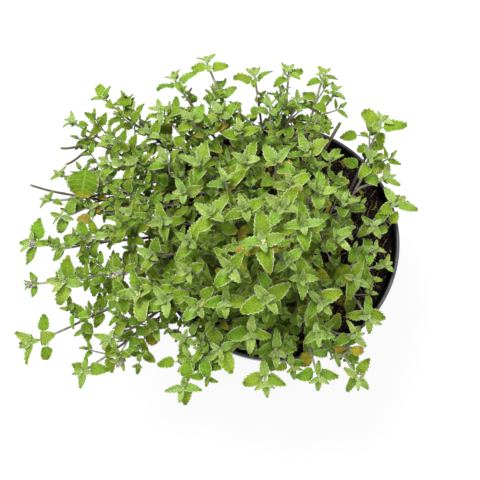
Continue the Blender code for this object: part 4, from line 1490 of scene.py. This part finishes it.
# ---------------------------------------------------------------------------------------------
# Cut stems. Last year's growth that was pruned back: bare, woody, olive to brown, each with a
# pale cut end. One on the left divides in three; a thick short one stands at the back.
# ---------------------------------------------------------------------------------------------
# The places of their cut ends in mm, and their radius in mm.
CUT_STEMS = {
    "pruned_fork": (((-131, 64, 158), (-146, 55, 155), (-142, 44, 153)), 1.6),
    "pruned_long_stem": (((-167, 32, 146),), 1.3),
    "pruned_short_stem": (((42, 67, 170),), 1.9),
}
FORK_AT = 0.86
ARM_STEPS = 10
ARM_THICKNESS = 0.8
PRUNED_LEAN = 60
PRUNED_TAPER = 0.75
PRUNED_NODES = (22 * MM, 48 * MM)
WOODY_ROUNDING = 0.6


def stripped_stem():
    """Bare catmint wood: olive bark with brown streaks along it, straw-coloured where it is cut."""
    made, tree, surface = new_finish("stripped_catmint_stem")
    place = add_node(tree, "ShaderNodeTexCoord").outputs["Object"]
    age = add_node(tree, "ShaderNodeAttribute", attribute_name="age").outputs["Fac"]
    streaks = add_node(tree, "ShaderNodeTexNoise",
                       {"Vector": place, "Scale": 1 / (2.2 * MM), "Detail": 4})
    uneven = add_node(tree, "ShaderNodeMath", {0: streaks, 1: 0.5, 2: age},
                      operation="MULTIPLY_ADD")
    centred = add_node(tree, "ShaderNodeMath", {0: uneven, 1: 0.25}, operation="SUBTRACT")
    colour = add_node(tree, "ShaderNodeValToRGB", {"Fac": centred})
    set_ramp(colour, ((0.0, "#d6c797"), (0.04, "#63603a"), (0.35, "#4c4230"), (0.7, "#38291f"),
                      (1.0, "#291d18")))
    bump = add_node(tree, "ShaderNodeBump",
                    {"Height": streaks, "Strength": 0.5, "Distance": 0.2 * MM})
    feed(tree, surface, {"Base Color": colour, "Roughness": 0.75, "Normal": bump})
    return made


def cut_stem_growth(name, ends, radius):
    """A pruned stem's plan: its main line and, on the fork, the two shorter arms."""
    growth = Growth()
    main = main_stem(name, CROWN, Vector(ends[0]) * MM, PRUNED_LEAN, seed=radius)
    routes = [([main[0] - UP * ROOTED] + main, radius * MM)]
    for arm in ends[1:]:
        branch = side_branch(main, FORK_AT, Vector(arm) * MM, PRUNED_LEAN, ARM_STEPS)
        routes.append((branch, radius * ARM_THICKNESS * MM))
    for path, start in routes:
        radii = stem_radii(path, start, start * PRUNED_TAPER, PRUNED_NODES)
        last = len(path) - 1
        ages = [min(1, 0.15 + 0.9 * (last - i) / STEM_STEPS) for i in range(last)] + [0]
        growth.stems.append((path, radii, ages))
    return growth


cut_finish = stripped_stem()
no_leaves = pattern_collection("no_leaf", [])
for name, (ends, radius) in CUT_STEMS.items():
    plan = plan_mesh(name, cut_stem_growth(name, ends, radius), {}, None)
    stem = new_piece(f"bare_{name}", plan)
    stem.data = grown_mesh(stem, growing, {
        "Leaf Patterns": no_leaves, "Leaf Finish": leaf_finish, "Stem Finish": cut_finish,
        "Corner Rounding": WOODY_ROUNDING, "Seed": 0})
    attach(stem, "root")
    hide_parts(name)
clear_patterns(no_leaves)

# ---------------------------------------------------------------------------------------------
# What it is shown on: a plain white floor, soft light from above and from the left, and a camera
# that looks down into the pot.
# ---------------------------------------------------------------------------------------------
FLOOR_SIZE = 6
FLOOR_GAP = 0.2 * MM
NEAR_GLOW = 0.88  # how white the floor is seen under the pot, where the shadow falls
FAR_GLOW = 1.0
GLOW_FROM = 300 * MM
GLOW_TO = 900 * MM
ROOM_LIGHT = 0.56  # from all sides
CAMERA_DISTANCE = 560 * MM
CAMERA_TILT = math.radians(17)
CAMERA_AIM = Vector((-24.5, -2.2, 130)) * MM
CAMERA_VIEW = math.radians(32.7)


def seen_directly(tree):
    """1 for what the camera sees, straight, mirrored or through glass, 0 for all other light."""
    ray = add_node(tree, "ShaderNodeLightPath").outputs
    seen = add_node(tree, "ShaderNodeMath", {0: ray["Is Camera Ray"], 1: ray["Is Glossy Ray"]},
                    operation="MAXIMUM")
    return add_node(tree, "ShaderNodeMath", {0: seen, 1: ray["Is Transmission Ray"]},
                    operation="MAXIMUM")


def white_floor():
    """White sweep paper, seen bright enough to leave only a soft shadow."""
    made, tree, surface = new_finish("white_floor")
    feed(tree, surface, {"Base Color": linear("#fcfcfc"), "Roughness": 0.9,
                         "Specular IOR Level": 0})
    shown = seen_directly(tree)
    place = add_node(tree, "ShaderNodeTexCoord").outputs["Object"]
    distance = add_node(tree, "ShaderNodeVectorMath", {0: place}, operation="LENGTH")
    level = add_node(tree, "ShaderNodeMapRange",
                     {"Value": distance, "From Min": GLOW_FROM, "From Max": GLOW_TO,
                      "To Min": NEAR_GLOW, "To Max": FAR_GLOW}, interpolation_type="SMOOTHSTEP")
    share = add_node(tree, "ShaderNodeMath", {0: shown, 1: level}, operation="MULTIPLY")
    glow = add_node(tree, "ShaderNodeEmission", {"Strength": 1})
    mixed = add_node(tree, "ShaderNodeMixShader", {0: share, 1: surface, 2: glow})
    feed(tree, tree.nodes["Material Output"], {"Surface": mixed})
    return made


bm = bmesh.new()
bmesh.ops.create_grid(bm, x_segments=1, y_segments=1, size=FLOOR_SIZE / 2)
floor = new_piece("floor", mesh_of(bm, "floor"))
floor.location.z = -FLOOR_GAP
floor.data.materials.append(white_floor())


def add_lamp(name, place, size, power):
    """A round softbox turned towards the plant."""
    lamp = bpy.data.lights.new(name, "AREA")
    lamp.shape = "DISK"
    lamp.size = size
    lamp.energy = power
    obj = bpy.data.objects.new(name, lamp)
    bpy.context.scene.collection.objects.link(obj)
    obj.location = place
    obj.rotation_euler = (CAMERA_AIM - obj.location).to_track_quat("-Z", "Y").to_euler()


add_lamp("key_softbox", Vector((-0.42, 0.32, 1.45)), size=0.6, power=19.5)
add_lamp("fill_softbox", Vector((0.8, -0.7, 1.1)), size=0.8, power=6)

world = bpy.data.worlds.new("white_room")
world.use_nodes = True
sky = world.node_tree
strength = add_node(sky, "ShaderNodeMapRange",
                    {"Value": seen_directly(sky), "To Min": ROOM_LIGHT, "To Max": 1})
feed(sky, sky.nodes["Background"], {"Color": (1, 1, 1, 1), "Strength": strength})
bpy.context.scene.world = world

camera_data = bpy.data.cameras.new("camera")
camera_data.angle = CAMERA_VIEW
camera_data.clip_start = 10 * MM
camera = bpy.data.objects.new("camera", camera_data)
bpy.context.scene.collection.objects.link(camera)
camera_way = Vector((0, -math.sin(CAMERA_TILT), math.cos(CAMERA_TILT)))
camera.location = CAMERA_AIM + CAMERA_DISTANCE * camera_way
camera.rotation_euler = (CAMERA_AIM - camera.location).to_track_quat("-Z", "Y").to_euler()
bpy.context.scene.camera = camera
bpy.context.scene.view_settings.view_transform = "Standard"
